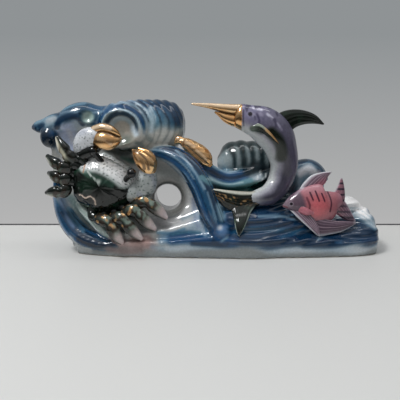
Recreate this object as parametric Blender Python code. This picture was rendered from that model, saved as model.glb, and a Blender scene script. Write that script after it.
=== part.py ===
"""Porcelain figurine: a marlin leaps over breaking waves that carry a crab, an angelfish and a gilt fish.

The real figure is slip cast in moulds, its creatures are stuck on with slip, and it is fired as one piece. So
this file leaves one object. It is hollow inside, with a vent hole in its flat foot, as a slip cast figure is.

Tables are in millimetres in the figurine's own frame: X runs along its length, -Y is the side that faces the
viewer, and Z is up from the foot. A row of a swept form is x, y, z, half width, half depth.
"""

import math

import bmesh
import bpy
import numpy as np

MM = 0.001

# Sea: the low body of water that everything stands on.
SEA_LEFT = -74.5
SEA_RIGHT = 101.3
SEA_FRONT = 30.0
SEA_BACK = 28.0
RIM_HEIGHT = 6.5
FOOT_ROUNDING = 1.2
END_ROUNDING = 4.5
TERRACE_COUNT = 3
TERRACE_DEPTH = 1.4

# Bowl: the tall wave at the left, whose hollow face holds the crab.
BOWL_CENTRE = (-44.0, 36.0)
BOWL_FACE = -7.0
BOWL_BACK = 14.0
BOWL_LIP = 11.0
HOLE_CENTRE = (-20.6, 29.6)
HOLE_DIAMETER = 15.2
HOLE_FLARE_DIAMETER = 20.5
HOLE_FLARE_DEPTH = 5.0

# Barrels: the two ribbed rolls of breaking water.
BARREL_RADIUS = 15.0
BARREL_RIBS = 9
BARREL_BOW = 0.8
BACK_BARREL_RADIUS = 12.5
BACK_BARREL_RIBS = 6
BACK_BARREL_BOW = 0.25
RIB_DEPTH = 0.9
MOUTH_RADIUS = 10.5
STRAND_DEPTH = 1.0
STRANDS = 9

# Creatures.
MARLIN_GIRTH = 1.0
DORSAL_THICKNESS = 3.2
FIN_THICKNESS = 2.4
FLUKE_THICKNESS = 3.4
CRAB_CENTRE = (-55.6, -17.0, 38.4)
CRAB_TILT = 28.0
CARAPACE_WIDTH = 35.0
CARAPACE_LENGTH = 30.5
CARAPACE_DOME = 9.5
EYE_DIAMETER = 5.2
RIGHT_EYE = (-38.4, -25.0, 46.0)
LEFT_EYE = (-58.8, -22.5, 57.6)
LEG_THICKNESS = 5.6
FISH_THICKNESS = 12.0

# Casting.
WALL = 4.0
VENT_DIAMETER = 8.0
VENT_CENTRE = (40.0, 4.0)

# Colour, roughness and metallic value of each glaze.
GLAZES = {
    "wave_blue": ("#3E6798", 0.08, 0.0),
    "porcelain_white": ("#C9CFD2", 0.08, 0.0),
    "crab_green": ("#1F3A30", 0.07, 0.0),
    "crab_speckle": ("#B9BEC2", 0.10, 0.0),
    "marlin_mauve": ("#6D6880", 0.08, 0.0),
    "fin_green": ("#17241B", 0.07, 0.0),
    "fish_pink": ("#C4626B", 0.08, 0.0),
    "fish_mauve": ("#7E6A7C", 0.08, 0.0),
    "gold_lustre": ("#C98A45", 0.16, 1.0),
    "eye_black": ("#101214", 0.05, 0.0),
}


def clear_scene():
    """Removes whatever the scene holds."""
    for obj in list(bpy.data.objects):
        bpy.data.objects.remove(obj, do_unlink=True)


def linear(hex_colour):
    """The linear red, green, blue and alpha of an sRGB hex colour."""
    channels = [int(hex_colour[i : i + 2], 16) / 255 for i in (1, 3, 5)]
    return [((c + 0.055) / 1.055) ** 2.4 if c > 0.04045 else c / 12.92 for c in channels] + [1.0]


def glaze(name):
    """The Principled material of one glaze."""
    found = bpy.data.materials.get(name)
    if found:
        return found
    colour, roughness, metallic = GLAZES[name]
    material = bpy.data.materials.new(name)
    material.use_nodes = True
    shader = material.node_tree.nodes["Principled BSDF"]
    shader.inputs["Base Color"].default_value = linear(colour)
    shader.inputs["Roughness"].default_value = roughness
    shader.inputs["Metallic"].default_value = metallic
    material.diffuse_color = linear(colour)
    return material


def smooth_rows(rows, count, closed=False):
    """Rows read at even spacing from a smooth curve through a table whose first three columns are a place."""
    table = np.array(rows, float)
    if closed:
        table = np.vstack([table[-2:], table, table[:3]])
    knots = np.concatenate([[0.0], np.cumsum(np.linalg.norm(np.diff(table[:, :3], axis=0), axis=1))])
    slopes = np.gradient(table, knots, axis=0)
    first, last = (knots[2], knots[-3]) if closed else (knots[0], knots[-1])
    places = np.linspace(first, last, count + 1)[:-1] if closed else np.linspace(first, last, count)
    cell = np.clip(np.searchsorted(knots, places, side="right") - 1, 0, len(knots) - 2)
    span = (knots[cell + 1] - knots[cell])[:, None]
    t = (places - knots[cell])[:, None] / span
    start, end = table[cell], table[cell + 1]
    rise, fall = slopes[cell] * span, slopes[cell + 1] * span
    return (
        (2 * t**3 - 3 * t**2 + 1) * start
        + (t**3 - 2 * t**2 + t) * rise
        + (3 * t**2 - 2 * t**3) * end
        + (t**3 - t**2) * fall
    )


def solid_from_rings(name, glaze_name, rings):
    """One closed object skinned over a list of rings of points, in millimetres, with a pole at each end."""
    bm = bmesh.new()
    loops = [[bm.verts.new(point * MM) for point in ring] for ring in rings]
    sides = len(loops[0])
    for near, far in zip(loops, loops[1:]):
        for i in range(sides):
            j = (i + 1) % sides
            bm.faces.new((near[i], near[j], far[j], far[i]))
    for loop, ring in ((loops[0], rings[0]), (loops[-1], rings[-1])):
        pole = bm.verts.new(np.mean(ring, axis=0) * MM)
        for i in range(sides):
            bm.faces.new((loop[i], loop[(i + 1) % sides], pole))
    bmesh.ops.recalc_face_normals(bm, faces=bm.faces)
    return object_from(name, glaze_name, bm)


def object_from(name, glaze_name, bm):
    """An object that holds the bmesh, with its glaze and smooth shading."""
    mesh = bpy.data.meshes.new(name)
    bm.to_mesh(mesh)
    bm.free()
    mesh.shade_smooth()
    mesh.materials.append(glaze(glaze_name))
    obj = bpy.data.objects.new(name, mesh)
    bpy.context.scene.collection.objects.link(obj)
    return obj


def ring_frame(path):
    """The two directions of each ring of a sweep: one across it, and one that lies as near to Y as it can."""
    along = np.gradient(path[:, :3], axis=0)
    along /= np.linalg.norm(along, axis=1)[:, None]
    depth_way = np.array((0.0, 1.0, 0.0))
    flat = depth_way - along * (along @ depth_way)[:, None]
    flat /= np.linalg.norm(flat, axis=1)[:, None]
    return np.cross(along, flat), flat


def swept(name, glaze_name, rows, rings, sides):
    """An oval carried along a smooth path. Its half depth lies along Y, and its half width across that."""
    path = smooth_rows(rows, rings)
    angle = np.linspace(0, 2 * math.pi, sides, endpoint=False)
    outline = []
    for centre, u, v in zip(path, *ring_frame(path)):
        ring = np.outer(np.cos(angle), u) * centre[3] + np.outer(np.sin(angle), v) * centre[4]
        outline.append(ring + centre[:3])
    return solid_from_rings(name, glaze_name, outline)


def roped(name, glaze_name, rows, rings):
    """A sweep whose every second side is drawn in by STRAND_DEPTH, which leaves STRANDS ropes along it."""
    path = smooth_rows(rows, rings)
    sides = 2 * STRANDS
    angle = np.linspace(0, 2 * math.pi, sides, endpoint=False)
    inset = np.where(np.arange(sides) % 2, STRAND_DEPTH, 0.0)
    outline = []
    for centre, u, v in zip(path, *ring_frame(path)):
        eased = inset * min(1.0, centre[3] / (4 * STRAND_DEPTH))
        ring = np.outer(np.cos(angle) * (centre[3] - eased), u)
        ring += np.outer(np.sin(angle) * (centre[4] - eased), v)
        outline.append(ring + centre[:3])
    return solid_from_rings(name, glaze_name, outline)


def ribbed(name, glaze_name, rows, ribs, bow, sides):
    """A roll of water with raised ribs round it, between rings that are drawn in by RIB_DEPTH.

    A ring that crosses the top at the share u of the length bows along it at the sides, by bow * u * (1 - u).
    """
    fine = smooth_rows(rows, 20 * ribs)
    table = np.hstack([fine, *ring_frame(fine)])
    grid = np.linspace(0, 1, len(table))
    angle = np.linspace(0, 2 * math.pi, sides, endpoint=False)
    outline = []
    for i, u in enumerate(np.linspace(0, 1, 2 * ribs + 3)):
        place = u + bow * u * (1 - u) * np.sin(angle) ** 2
        row = np.stack([np.interp(place, grid, column) for column in table.T], axis=1)
        inset = RIB_DEPTH if i % 2 == 0 and 0 < i < 2 * ribs + 2 else 0.0
        ring = (np.cos(angle) * (row[:, 3] - inset))[:, None] * row[:, 5:8]
        ring += (np.sin(angle) * (row[:, 4] - inset))[:, None] * row[:, 8:11]
        outline.append(ring + row[:, :3])
    return solid_from_rings(name, glaze_name, outline)


def blade(name, glaze_name, leading, trailing, thickness, rings=8, sides=6):
    """A fin between two edge curves from root to tip. Its section is a lens, thinner towards the tip."""
    front, rear = smooth_rows(leading, rings), smooth_rows(trailing, rings)
    centre, half = (front + rear) / 2, (front - rear) / 2
    normal = np.cross(np.gradient(centre, axis=0), half)
    normal /= np.linalg.norm(normal, axis=1)[:, None]
    thick = thickness / 2 * np.sqrt(1 - 0.85 * np.linspace(0, 1, rings) ** 2)
    angle = np.linspace(0, 2 * math.pi, sides, endpoint=False)
    outline = []
    for middle, h, n, t in zip(centre, half, normal, thick):
        outline.append(middle + np.outer(np.cos(angle), h) + np.outer(np.sin(angle), n * t))
    return solid_from_rings(name, glaze_name, outline)


def ball(name, glaze_name, centre, radii, rings=8, sides=12):
    """An egg shape with its poles above and below its centre."""
    angle = np.linspace(0, 2 * math.pi, sides, endpoint=False)
    outline = []
    for tilt in np.linspace(-math.pi / 2, math.pi / 2, rings + 1)[1:-1]:
        flat = np.stack([np.cos(angle), np.sin(angle), np.full(sides, math.tan(tilt))], axis=1)
        outline.append(np.array(centre) + flat * math.cos(tilt) * np.array(radii))
    return solid_from_rings(name, glaze_name, outline)


def sea_section(front, back, crest_y, crest_z, fullness):
    """The points of the sea's section in Y and Z: flat foot, rim, terraced front, crest and back."""
    rim = min(RIM_HEIGHT, 0.45 * crest_z)
    foot = FOOT_ROUNDING
    rise = np.linspace(0, 1, 4 * TERRACE_COUNT + 2)[1:-1]
    swell = TERRACE_DEPTH * np.sin(2 * math.pi * TERRACE_COUNT * rise) * min(1.0, crest_z / SEA_FRONT)
    front_y = front + (crest_y - front) * rise**fullness - 0.7 * swell
    front_z = rim + (crest_z - rim) * rise + 0.7 * swell
    fall = np.linspace(1, 0, 6)[:-1]
    ripple = 0.6 * TERRACE_DEPTH * np.cos(5 * math.pi * fall) * min(1.0, crest_z / SEA_FRONT)
    back_y = back + (crest_y - back) * fall**1.7 + ripple
    back_z = rim + (crest_z - rim) * fall
    return (
        [(front + foot, 0.0), (front, foot), (front, rim)]
        + list(zip(front_y, front_z))
        + list(zip(back_y, back_z))
        + [(back, rim), (back, foot), (back - foot, 0.0)]
    )


# Rows of the sea: share of its length, front and back edge as shares of SEA_FRONT and SEA_BACK, depth and
# height of the crest, and fullness, which is how far up the front stands steep.
SEA_ROWS = (
    (0.00, -0.48, 0.22, -3.0, 7.0, 1.6),
    (0.02, -0.60, 0.32, -3.0, 11.0, 1.7),
    (0.06, -0.70, 0.50, -3.0, 14.0, 1.8),
    (0.16, -0.85, 0.72, -2.0, 20.0, 1.9),
    (0.29, -0.90, 0.90, 0.0, 24.0, 2.0),
    (0.40, -0.94, 1.00, 3.0, 36.0, 1.9),
    (0.45, -0.96, 1.00, 5.0, 43.0, 1.9),
    (0.50, -0.98, 1.00, 6.0, 43.0, 1.9),
    (0.57, -1.00, 1.00, 8.0, 41.0, 1.9),
    (0.65, -0.94, 1.00, 7.0, 38.0, 1.6),
    (0.74, -0.91, 0.96, 5.0, 32.0, 1.2),
    (0.83, -0.87, 0.90, 3.0, 26.0, 1.2),
    (0.90, -0.82, 0.80, 2.0, 21.5, 1.4),
    (0.95, -0.72, 0.66, 1.0, 23.0, 2.2),
    (0.982, -0.56, 0.46, 0.0, 21.0, 2.4),
    (1.00, -0.28, 0.18, -2.0, 11.0, 2.0),
)


def sea():
    """The body of water, skinned over sections that stand along the length. The foot draws in at its ends."""
    length = SEA_RIGHT - SEA_LEFT
    rows = [(u * length, 0.0, 0.0, *rest) for u, *rest in SEA_ROWS]
    outline = []
    for u, _, _, front, back, crest_y, crest_z, fullness in smooth_rows(rows, 25):
        section = sea_section(front * SEA_FRONT, back * SEA_BACK, crest_y, crest_z, fullness)
        ring = np.array([(SEA_LEFT + u, y, z) for y, z in section])
        near_end = max(0.0, 1.0 - min(u, length - u) / (0.6 * RIM_HEIGHT))
        low = np.clip(1.0 - ring[:, 2] / RIM_HEIGHT, 0, 1)
        ring[:, 0] += np.sign(length / 2 - u) * END_ROUNDING * near_end * low**1.5
        outline.append(ring)
    return solid_from_rings("sea", "wave_blue", outline)


# The bowl's rim, clockwise from the foot at its left: x, depth of the lip, z.
BOWL_RIM = (
    (-73.0, -15.0, 1.0),
    (-78.5, -11.0, 12.0),
    (-84.0, -8.0, 28.0),
    (-86.5, -6.0, 44.0),
    (-87.5, -5.0, 57.0),
    (-84.5, -4.0, 68.0),
    (-76.0, -5.0, 74.0),
    (-64.0, -6.0, 77.0),
    (-50.0, -7.0, 77.0),
    (-34.0, -6.0, 76.0),
    (-20.0, -6.0, 67.0),
    (-13.0, -9.0, 57.0),
    (-5.5, -14.0, 48.0),
    (0.5, -17.0, 39.0),
    (4.0, -19.0, 28.0),
    (6.5, -20.0, 16.0),
    (6.0, -22.0, 2.0),
    (-22.0, -22.0, 1.0),
    (-52.0, -18.0, 1.0),
)


def dish(name, glaze_name, rim, centre, face, back, lip, sides, shares):
    """A shallow dish on edge: rings grow from the middle of its face to the rim, and shrink again behind."""
    rim = smooth_rows(rim, sides, closed=True)
    middle = np.array(centre)
    outline = []
    for share in shares:
        ring = np.empty((sides, 3))
        ring[:, (0, 2)] = middle + (rim[:, (0, 2)] - middle) * share
        ring[:, 1] = face + (rim[:, 1] - face) * share**3
        outline.append(ring)
    for share in reversed(shares):
        ring = np.empty((sides, 3))
        ring[:, (0, 2)] = middle + (rim[:, (0, 2)] - middle) * share
        ring[:, 1] = back + (rim[:, 1] + lip - back) * share**3
        outline.append(ring)
    return solid_from_rings(name, glaze_name, outline)


def bowl():
    """The tall wave at the left. Its edge is rounded by one wider ring between the two lips."""
    return dish(
        "bowl",
        "porcelain_white",
        BOWL_RIM,
        BOWL_CENTRE,
        BOWL_FACE,
        BOWL_BACK,
        BOWL_LIP,
        36,
        (0.15, 0.45, 0.7, 0.88, 0.98),
    )


def crest():
    """The rolled edge along the top left of the wave, with a knob at its tip and a lump below it."""
    roll = swept(
        "crest_roll",
        "wave_blue",
        (
            (-98.6, 0.0, 69.4, 1.0, 1.0),
            (-96.0, 0.0, 69.8, 3.0, 3.0),
            (-91.0, -1.0, 70.3, 4.3, 4.6),
            (-85.0, -2.0, 71.4, 5.9, 7.0),
            (-79.0, -2.5, 72.6, 6.2, 8.0),
            (-73.5, -3.0, 74.6, 7.8, 9.5),
            (-67.5, -3.0, 75.6, 8.4, 9.5),
            (-60.5, -2.5, 74.4, 7.6, 9.0),
            (-52.0, -2.5, 73.4, 8.8, 9.4),
            (-44.0, -2.5, 72.0, 9.4, 9.8),
        ),
        17,
        12,
    )
    lump = ball("crest_lump", "wave_blue", (-87.1, -4.5, 64.4), (5.2, 6.5, 6.2))
    return [roll, lump]


# The large barrel: x, y, z, then half width and half depth as shares of BARREL_RADIUS.
BARREL_PATH = (
    (-56.5, -12.0, 70.2, 0.40, 0.33),
    (-53.5, -11.0, 70.4, 0.71, 0.63),
    (-47.5, -8.5, 70.5, 0.89, 0.83),
    (-40.0, -5.0, 70.6, 0.97, 0.95),
    (-30.5, -1.0, 70.6, 1.00, 1.00),
    (-21.0, 0.5, 70.6, 0.97, 0.97),
    (-16.6, 1.0, 70.6, 0.88, 0.88),
    (-13.4, 1.3, 70.6, 0.71, 0.71),
    (-11.4, 1.5, 70.6, 0.47, 0.47),
    (-10.4, 1.5, 70.6, 0.21, 0.21),
)

# The small barrel behind the marlin, with its half sizes as shares of BACK_BARREL_RADIUS.
BACK_BARREL_PATH = (
    (9.0, 10.0, 49.0, 0.30, 0.35),
    (11.5, 10.0, 49.0, 0.72, 0.75),
    (17.0, 11.0, 49.2, 0.96, 0.95),
    (28.0, 12.0, 49.2, 1.00, 1.00),
    (38.0, 12.0, 48.5, 0.94, 0.94),
    (45.0, 12.0, 47.0, 0.70, 0.75),
    (49.0, 12.0, 46.0, 0.34, 0.35),
)


def barrels():
    """The large ribbed roll over the hole, and the smaller one behind the marlin."""
    large = [(x, y, z, a * BARREL_RADIUS, b * BARREL_RADIUS) for x, y, z, a, b in BARREL_PATH]
    radius = BACK_BARREL_RADIUS
    small = [(x, y, z, a * radius, b * radius) for x, y, z, a, b in BACK_BARREL_PATH]
    return [
        ribbed("barrel", "wave_blue", large, BARREL_RIBS, BARREL_BOW, 18),
        ribbed("back_barrel", "wave_blue", small, BACK_BARREL_RIBS, BACK_BARREL_BOW, 14),
    ]


def ridges():
    """The ropes of water: the bowl's edges, the curl where the right one ends, and the arcs in the trough."""
    right = (
        (-36.0, -6.0, 55.6, 1.5, 3.0),
        (-31.0, -8.0, 56.4, 3.0, 4.5),
        (-22.0, -11.0, 56.0, 4.6, 6.5),
        (-15.3, -13.0, 53.4, 5.6, 8.0),
        (-7.5, -16.0, 47.3, 6.2, 9.0),
        (-2.0, -19.0, 38.9, 6.3, 9.0),
        (1.6, -21.5, 30.0, 6.2, 8.0),
        (5.0, -23.5, 22.1, 5.8, 7.0),
        (8.4, -24.0, 15.5, 4.2, 5.5),
    )
    left = (
        (-84.5, -6.5, 40.0, 1.2, 2.5),
        (-82.6, -8.5, 28.0, 3.2, 4.5),
        (-79.0, -10.5, 20.0, 4.6, 6.0),
        (-73.5, -13.5, 13.0, 5.2, 6.5),
        (-66.5, -17.0, 8.6, 5.2, 6.0),
        (-58.0, -19.5, 6.4, 4.4, 5.5),
        (-48.0, -22.0, 5.2, 2.6, 4.5),
    )
    inner = (
        (-70.5, -10.0, 29.5, 1.4, 3.0),
        (-68.0, -12.0, 25.5, 2.8, 5.0),
        (-62.5, -14.5, 20.2, 3.4, 6.0),
        (-56.0, -17.0, 14.4, 3.4, 5.5),
        (-48.0, -20.0, 9.5, 2.0, 4.0),
    )
    trough = (
        (-2.5, -6.0, 50.5, 2.6, 4.0),
        (3.7, -4.0, 45.4, 3.6, 5.0),
        (10.7, -3.0, 41.8, 3.8, 5.0),
        (20.1, -1.0, 41.8, 3.6, 5.0),
        (29.0, 2.0, 44.5, 3.0, 4.4),
        (37.0, 4.0, 49.0, 2.0, 3.4),
    )
    lower_trough = (
        (-2.5, -10.0, 44.5, 2.4, 4.0),
        (3.7, -9.0, 40.6, 3.0, 5.0),
        (12.8, -8.0, 37.4, 3.0, 5.0),
        (22.6, -6.0, 37.8, 3.0, 5.0),
        (31.0, -4.0, 40.5, 2.6, 4.4),
        (39.0, -2.0, 44.0, 1.8, 3.4),
    )
    return [
        roped("right_ridge", "wave_blue", right, 13),
        ball("right_curl", "wave_blue", (9.6, -24.0, 13.9), (6.2, 6.0, 6.2), 7, 12),
        roped("left_ridge", "wave_blue", left, 9),
        swept("inner_ridge", "wave_blue", inner, 8, 8),
        swept("trough_arc", "wave_blue", trough, 10, 8),
        swept("lower_trough_arc", "wave_blue", lower_trough, 10, 8),
    ]


def back_waves():
    """The hooked wave behind the angelfish, and the curl beyond its tail."""
    hook = (
        (46.0, 5.0, 22.0, 8.0, 8.0),
        (52.0, 8.0, 36.0, 7.5, 8.0),
        (58.0, 11.0, 43.4, 6.6, 8.5),
        (64.6, 12.0, 44.4, 6.0, 8.5),
        (70.0, 12.0, 41.8, 4.6, 7.0),
        (74.0, 11.0, 38.0, 2.2, 4.0),
    )
    curl = (
        (74.0, 1.0, 19.5, 5.0, 7.0),
        (81.0, 3.0, 23.5, 5.2, 7.0),
        (87.5, 4.0, 24.4, 4.4, 6.5),
        (92.4, 4.0, 22.8, 2.6, 5.0),
    )
    return [
        swept("hook_wave", "wave_blue", hook, 11, 10),
        ball("hook_hollow", "wave_blue", (60.5, 9.0, 34.5), (12.5, 6.5, 9.0), 6, 12),
        swept("end_curl", "porcelain_white", curl, 8, 8),
    ]


def scoops():
    """Cutters that hollow the mouth of the large barrel and the face of the crest beside it."""
    mouth = (MOUTH_RADIUS, 9.0, MOUTH_RADIUS)
    return [
        ball("mouth_scoop", "porcelain_white", (-45.5, -20.5, 69.0), mouth, 8, 14),
        ball("small_scoop", "porcelain_white", (-64.0, -13.5, 76.0), (4.4, 4.0, 4.0), 6, 10),
        ball("claw_scoop", "porcelain_white", (-71.0, -13.5, 65.0), (10.0, 6.0, 10.0), 7, 12),
    ]


def hole():
    """The cutter for the round hole through the bowl, flared towards the viewer."""
    radius, flare = HOLE_DIAMETER / 2, HOLE_FLARE_DIAMETER / 2
    lip = BOWL_FACE - 2.0
    profile = (
        (lip - 20.0, flare + 1.0),
        (lip, flare),
        (lip + HOLE_FLARE_DEPTH, radius),
        (BOWL_BACK - 3.0, radius),
        (BOWL_BACK + 1.0, radius + 1.2),
        (BOWL_BACK + 20.0, radius + 1.4),
    )
    angle = np.linspace(0, 2 * math.pi, 24, endpoint=False)
    x, z = HOLE_CENTRE
    outline = [
        np.stack([x + r * np.cos(angle), np.full(24, y), z + r * np.sin(angle)], axis=1) for y, r in profile
    ]
    return solid_from_rings("hole", "porcelain_white", outline)


def marlin():
    """The leaping marlin: crescent body, gilt bill and jaw, dorsal fin, two pectoral fins and the tail."""
    body = (
        (19.3, -13.0, 76.2, 6.6, 5.2),
        (24.2, -13.0, 74.6, 7.6, 6.2),
        (32.6, -12.0, 71.4, 9.8, 7.4),
        (39.2, -11.0, 65.9, 10.2, 7.6),
        (43.6, -9.0, 57.3, 8.8, 6.8),
        (45.6, -7.0, 48.4, 7.8, 6.2),
        (43.9, -6.5, 40.1, 7.2, 6.0),
        (41.0, -8.0, 35.4, 6.6, 5.6),
        (36.6, -10.5, 32.2, 6.0, 5.0),
        (31.6, -13.0, 31.2, 5.0, 4.2),
        (26.5, -15.5, 30.9, 3.6, 3.0),
    )
    body = [(x, y, z, a * MARLIN_GIRTH, b * MARLIN_GIRTH) for x, y, z, a, b in body]
    bill = (
        (22.0, -13.0, 79.2, 3.3, 3.6),
        (17.6, -13.0, 79.4, 3.0, 3.0),
        (10.0, -13.0, 80.3, 2.3, 2.2),
        (2.3, -13.0, 81.5, 1.4, 1.4),
        (-6.6, -13.0, 82.5, 0.5, 0.6),
    )
    jaw = (
        (22.0, -13.0, 73.8, 3.9, 3.6),
        (17.1, -13.0, 73.6, 3.4, 3.2),
        (12.2, -13.0, 75.0, 2.5, 2.5),
        (8.6, -13.0, 77.0, 1.3, 1.4),
        (6.0, -13.0, 78.2, 0.5, 0.6),
    )
    dorsal = (
        (
            (35.0, -12.0, 73.5), (44.0, -12.0, 78.8), (50.0, -12.0, 79.6),
            (56.0, -12.0, 78.8), (61.5, -12.0, 76.4), (66.0, -12.0, 72.0),
        ),
        (
            (42.0, -12.0, 60.0), (46.5, -12.0, 65.6), (50.0, -12.0, 69.4),
            (55.0, -12.0, 71.4), (60.5, -12.0, 71.8), (65.8, -12.0, 71.2),
        ),
    )
    pectoral = (
        (
            (24.5, -17.5, 71.6), (29.5, -19.4, 72.0), (34.0, -20.6, 68.9),
            (37.5, -20.6, 65.2), (40.3, -19.8, 61.6),
        ),
        (
            (26.0, -17.2, 67.8), (30.0, -18.8, 67.4), (34.0, -19.8, 65.2),
            (37.0, -20.0, 63.0), (40.0, -19.6, 61.2),
        ),
    )
    head = np.array(body[:4])
    far_pectoral = []
    for edge in pectoral:
        far_pectoral.append([(x, 2 * np.interp(x, head[:, 0], head[:, 1]) - y, z) for x, y, z in edge])
    upper_fluke = (
        (
            (32.6, -13.5, 35.2), (25.6, -16.5, 34.9), (19.9, -18.5, 35.4),
            (13.2, -20.0, 36.2), (7.2, -21.0, 37.0), (2.3, -21.8, 37.3),
        ),
        (
            (32.6, -14.5, 27.5), (25.7, -17.5, 24.7), (18.9, -19.4, 23.4),
            (13.3, -20.6, 25.6), (7.8, -21.4, 29.9), (2.6, -22.0, 36.2),
        ),
    )
    lower_fluke = (
        (
            (32.7, -14.0, 28.6), (28.4, -18.0, 26.7), (25.6, -21.8, 24.0),
            (23.6, -25.8, 20.6), (21.3, -28.5, 16.4), (18.8, -29.3, 12.5),
        ),
        (
            (19.0, -16.4, 32.4), (15.1, -19.5, 26.6), (15.7, -22.6, 23.3),
            (16.3, -26.4, 20.2), (17.0, -28.6, 16.4), (18.3, -29.3, 12.8),
        ),
    )
    return [
        swept("marlin_body", "marlin_mauve", body, 19, 12),
        swept("bill", "gold_lustre", bill, 6, 8),
        swept("jaw", "gold_lustre", jaw, 6, 8),
        blade("dorsal_fin", "fin_green", *dorsal, DORSAL_THICKNESS),
        blade("near_pectoral_fin", "fin_green", *pectoral, FIN_THICKNESS),
        blade("far_pectoral_fin", "fin_green", *far_pectoral, FIN_THICKNESS),
        blade("upper_fluke", "fin_green", *upper_fluke, FLUKE_THICKNESS),
        blade("lower_fluke", "fin_green", *lower_fluke, FLUKE_THICKNESS),
    ]


def angelfish():
    """The angelfish at the right: a deep flat body with swept back dorsal, belly and tail fins."""
    half = FISH_THICKNESS / 2
    body = (
        (44.2, -18.0, 27.0, 1.0, 0.20 * half),
        (47.6, -17.5, 27.8, 4.0, 0.50 * half),
        (52.9, -16.5, 28.2, 7.8, 0.78 * half),
        (58.0, -16.0, 27.8, 10.8, 0.95 * half),
        (63.1, -15.5, 27.2, 12.0, half),
        (68.2, -15.0, 27.4, 9.8, 0.85 * half),
        (72.2, -14.5, 29.2, 6.0, 0.55 * half),
        (76.0, -14.0, 30.6, 3.6, 0.35 * half),
    )
    dorsal = (
        (
            (51.2, -15.5, 32.5), (55.2, -15.5, 39.6), (59.6, -15.5, 43.8),
            (64.6, -15.5, 45.4), (70.4, -15.5, 45.8),
        ),
        (
            (62.2, -15.5, 35.6), (64.9, -15.5, 37.3), (67.3, -15.5, 39.5),
            (68.4, -15.5, 42.6), (70.2, -15.5, 45.2),
        ),
    )
    pelvic = (
        (
            (46.4, -18.2, 26.0), (52.0, -20.2, 20.5), (57.0, -21.4, 16.0),
            (60.5, -22.2, 13.0), (63.4, -22.6, 10.8),
        ),
        (
            (52.0, -18.0, 28.2), (57.3, -19.6, 24.0), (61.0, -21.0, 19.8),
            (63.1, -22.0, 15.5), (63.9, -22.6, 11.4),
        ),
    )
    belly = (
        (
            (57.8, -19.0, 16.0), (63.2, -20.5, 10.7), (69.9, -20.0, 11.4),
            (76.8, -18.8, 12.8), (84.9, -17.0, 16.9),
        ),
        (
            (57.0, -18.0, 23.0), (65.4, -19.0, 20.4), (71.5, -19.0, 19.0),
            (78.3, -18.3, 18.6), (84.9, -17.0, 17.9),
        ),
    )
    upper_tail = (
        ((70.2, -14.0, 31.6), (73.6, -14.0, 35.4), (75.0, -14.0, 38.7), (76.0, -14.0, 42.1)),
        ((78.0, -14.0, 25.0), (78.9, -14.0, 30.3), (78.4, -14.0, 36.5), (77.0, -14.0, 42.0)),
    )
    lower_tail = (
        ((74.0, -14.0, 34.4), (79.1, -14.0, 29.0), (82.2, -14.5, 24.0), (85.2, -15.0, 18.2)),
        ((71.0, -14.0, 25.0), (76.0, -14.2, 20.6), (80.6, -14.7, 18.0), (84.9, -15.0, 17.2)),
    )
    side_fin = (
        ((51.5, -19.4, 27.4), (56.0, -22.4, 26.8), (60.0, -22.6, 24.4)),
        ((52.4, -19.8, 23.6), (56.0, -22.2, 22.6), (59.8, -22.6, 23.2)),
    )
    return [
        swept("fish_body", "fish_pink", body, 12, 14),
        blade("fish_dorsal_fin", "fish_mauve", *dorsal, FIN_THICKNESS),
        blade("fish_pelvic_fin", "fish_mauve", *pelvic, FIN_THICKNESS),
        blade("fish_belly_fin", "fish_mauve", *belly, FIN_THICKNESS),
        blade("fish_upper_tail", "fish_mauve", *upper_tail, FIN_THICKNESS, 6),
        blade("fish_lower_tail", "fish_mauve", *lower_tail, FIN_THICKNESS, 6),
        blade("fish_side_fin", "fish_mauve", *side_fin, 0.7 * FIN_THICKNESS, 5),
    ]


def gilt_fish():
    """The small gilt fish that lies along the top of the right ridge."""
    body = (
        (-14.2, -12.0, 63.8, 0.8, 0.8),
        (-12.2, -12.0, 62.6, 2.0, 2.0),
        (-9.6, -12.0, 61.0, 3.2, 3.0),
        (-6.0, -12.0, 58.4, 4.2, 4.0),
        (-2.0, -12.5, 55.2, 4.9, 4.4),
        (1.2, -13.0, 52.2, 4.2, 4.0),
        (3.9, -13.0, 49.0, 1.4, 1.8),
    )
    tail = (
        (-11.8, -12.0, 63.0, 1.8, 1.6),
        (-13.8, -12.0, 62.6, 2.4, 1.4),
        (-15.6, -12.0, 61.4, 1.0, 0.8),
    )
    return [
        swept("gilt_body", "gold_lustre", body, 10, 10),
        swept("gilt_tail", "gold_lustre", tail, 4, 6),
    ]


# Crab legs: where each leaves the shell, as an angle round the carapace, then its knee, shin and tip in the
# figurine's frame, measured from the crab's centre.
RIGHT_LEGS = (
    (-22.0, (24.0, -7.0, -8.4), (31.5, -7.0, -13.4), (35.0, -4.5, -17.2)),
    (-42.0, (18.5, -9.5, -12.9), (25.0, -9.5, -18.9), (28.9, -7.0, -23.0)),
    (-62.0, (12.0, -11.0, -16.9), (17.5, -11.0, -23.3), (21.8, -8.5, -28.0)),
    (-84.0, (4.8, -11.0, -19.4), (8.4, -11.0, -25.7), (11.2, -8.5, -30.2)),
)
LEFT_LEGS = (
    (150.0, (-15.5, -3.5, 15.6), (-19.5, -3.5, 21.1), (-23.0, -1.5, 26.2)),
    (168.0, (-18.0, -4.0, 10.1), (-24.5, -3.0, 12.9), (-29.2, -0.5, 16.0)),
    (186.0, (-19.5, -4.0, 4.1), (-25.0, -3.0, 5.7), (-28.8, -0.5, 6.8)),
    (204.0, (-20.0, -4.0, -2.4), (-26.0, -3.0, -2.9), (-30.6, -0.5, -4.0)),
)

# Rings of the carapace from its underside to the top of its dome: share of its outline, then how far it lies
# behind the rim as a share of CARAPACE_DOME.
CARAPACE_RINGS = (
    (0.55, 1.16),
    (0.86, 0.53),
    (1.0, 0.06),
    (0.97, -0.21),
    (0.8, -0.55),
    (0.52, -0.84),
    (0.22, -0.98),
)


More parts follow.
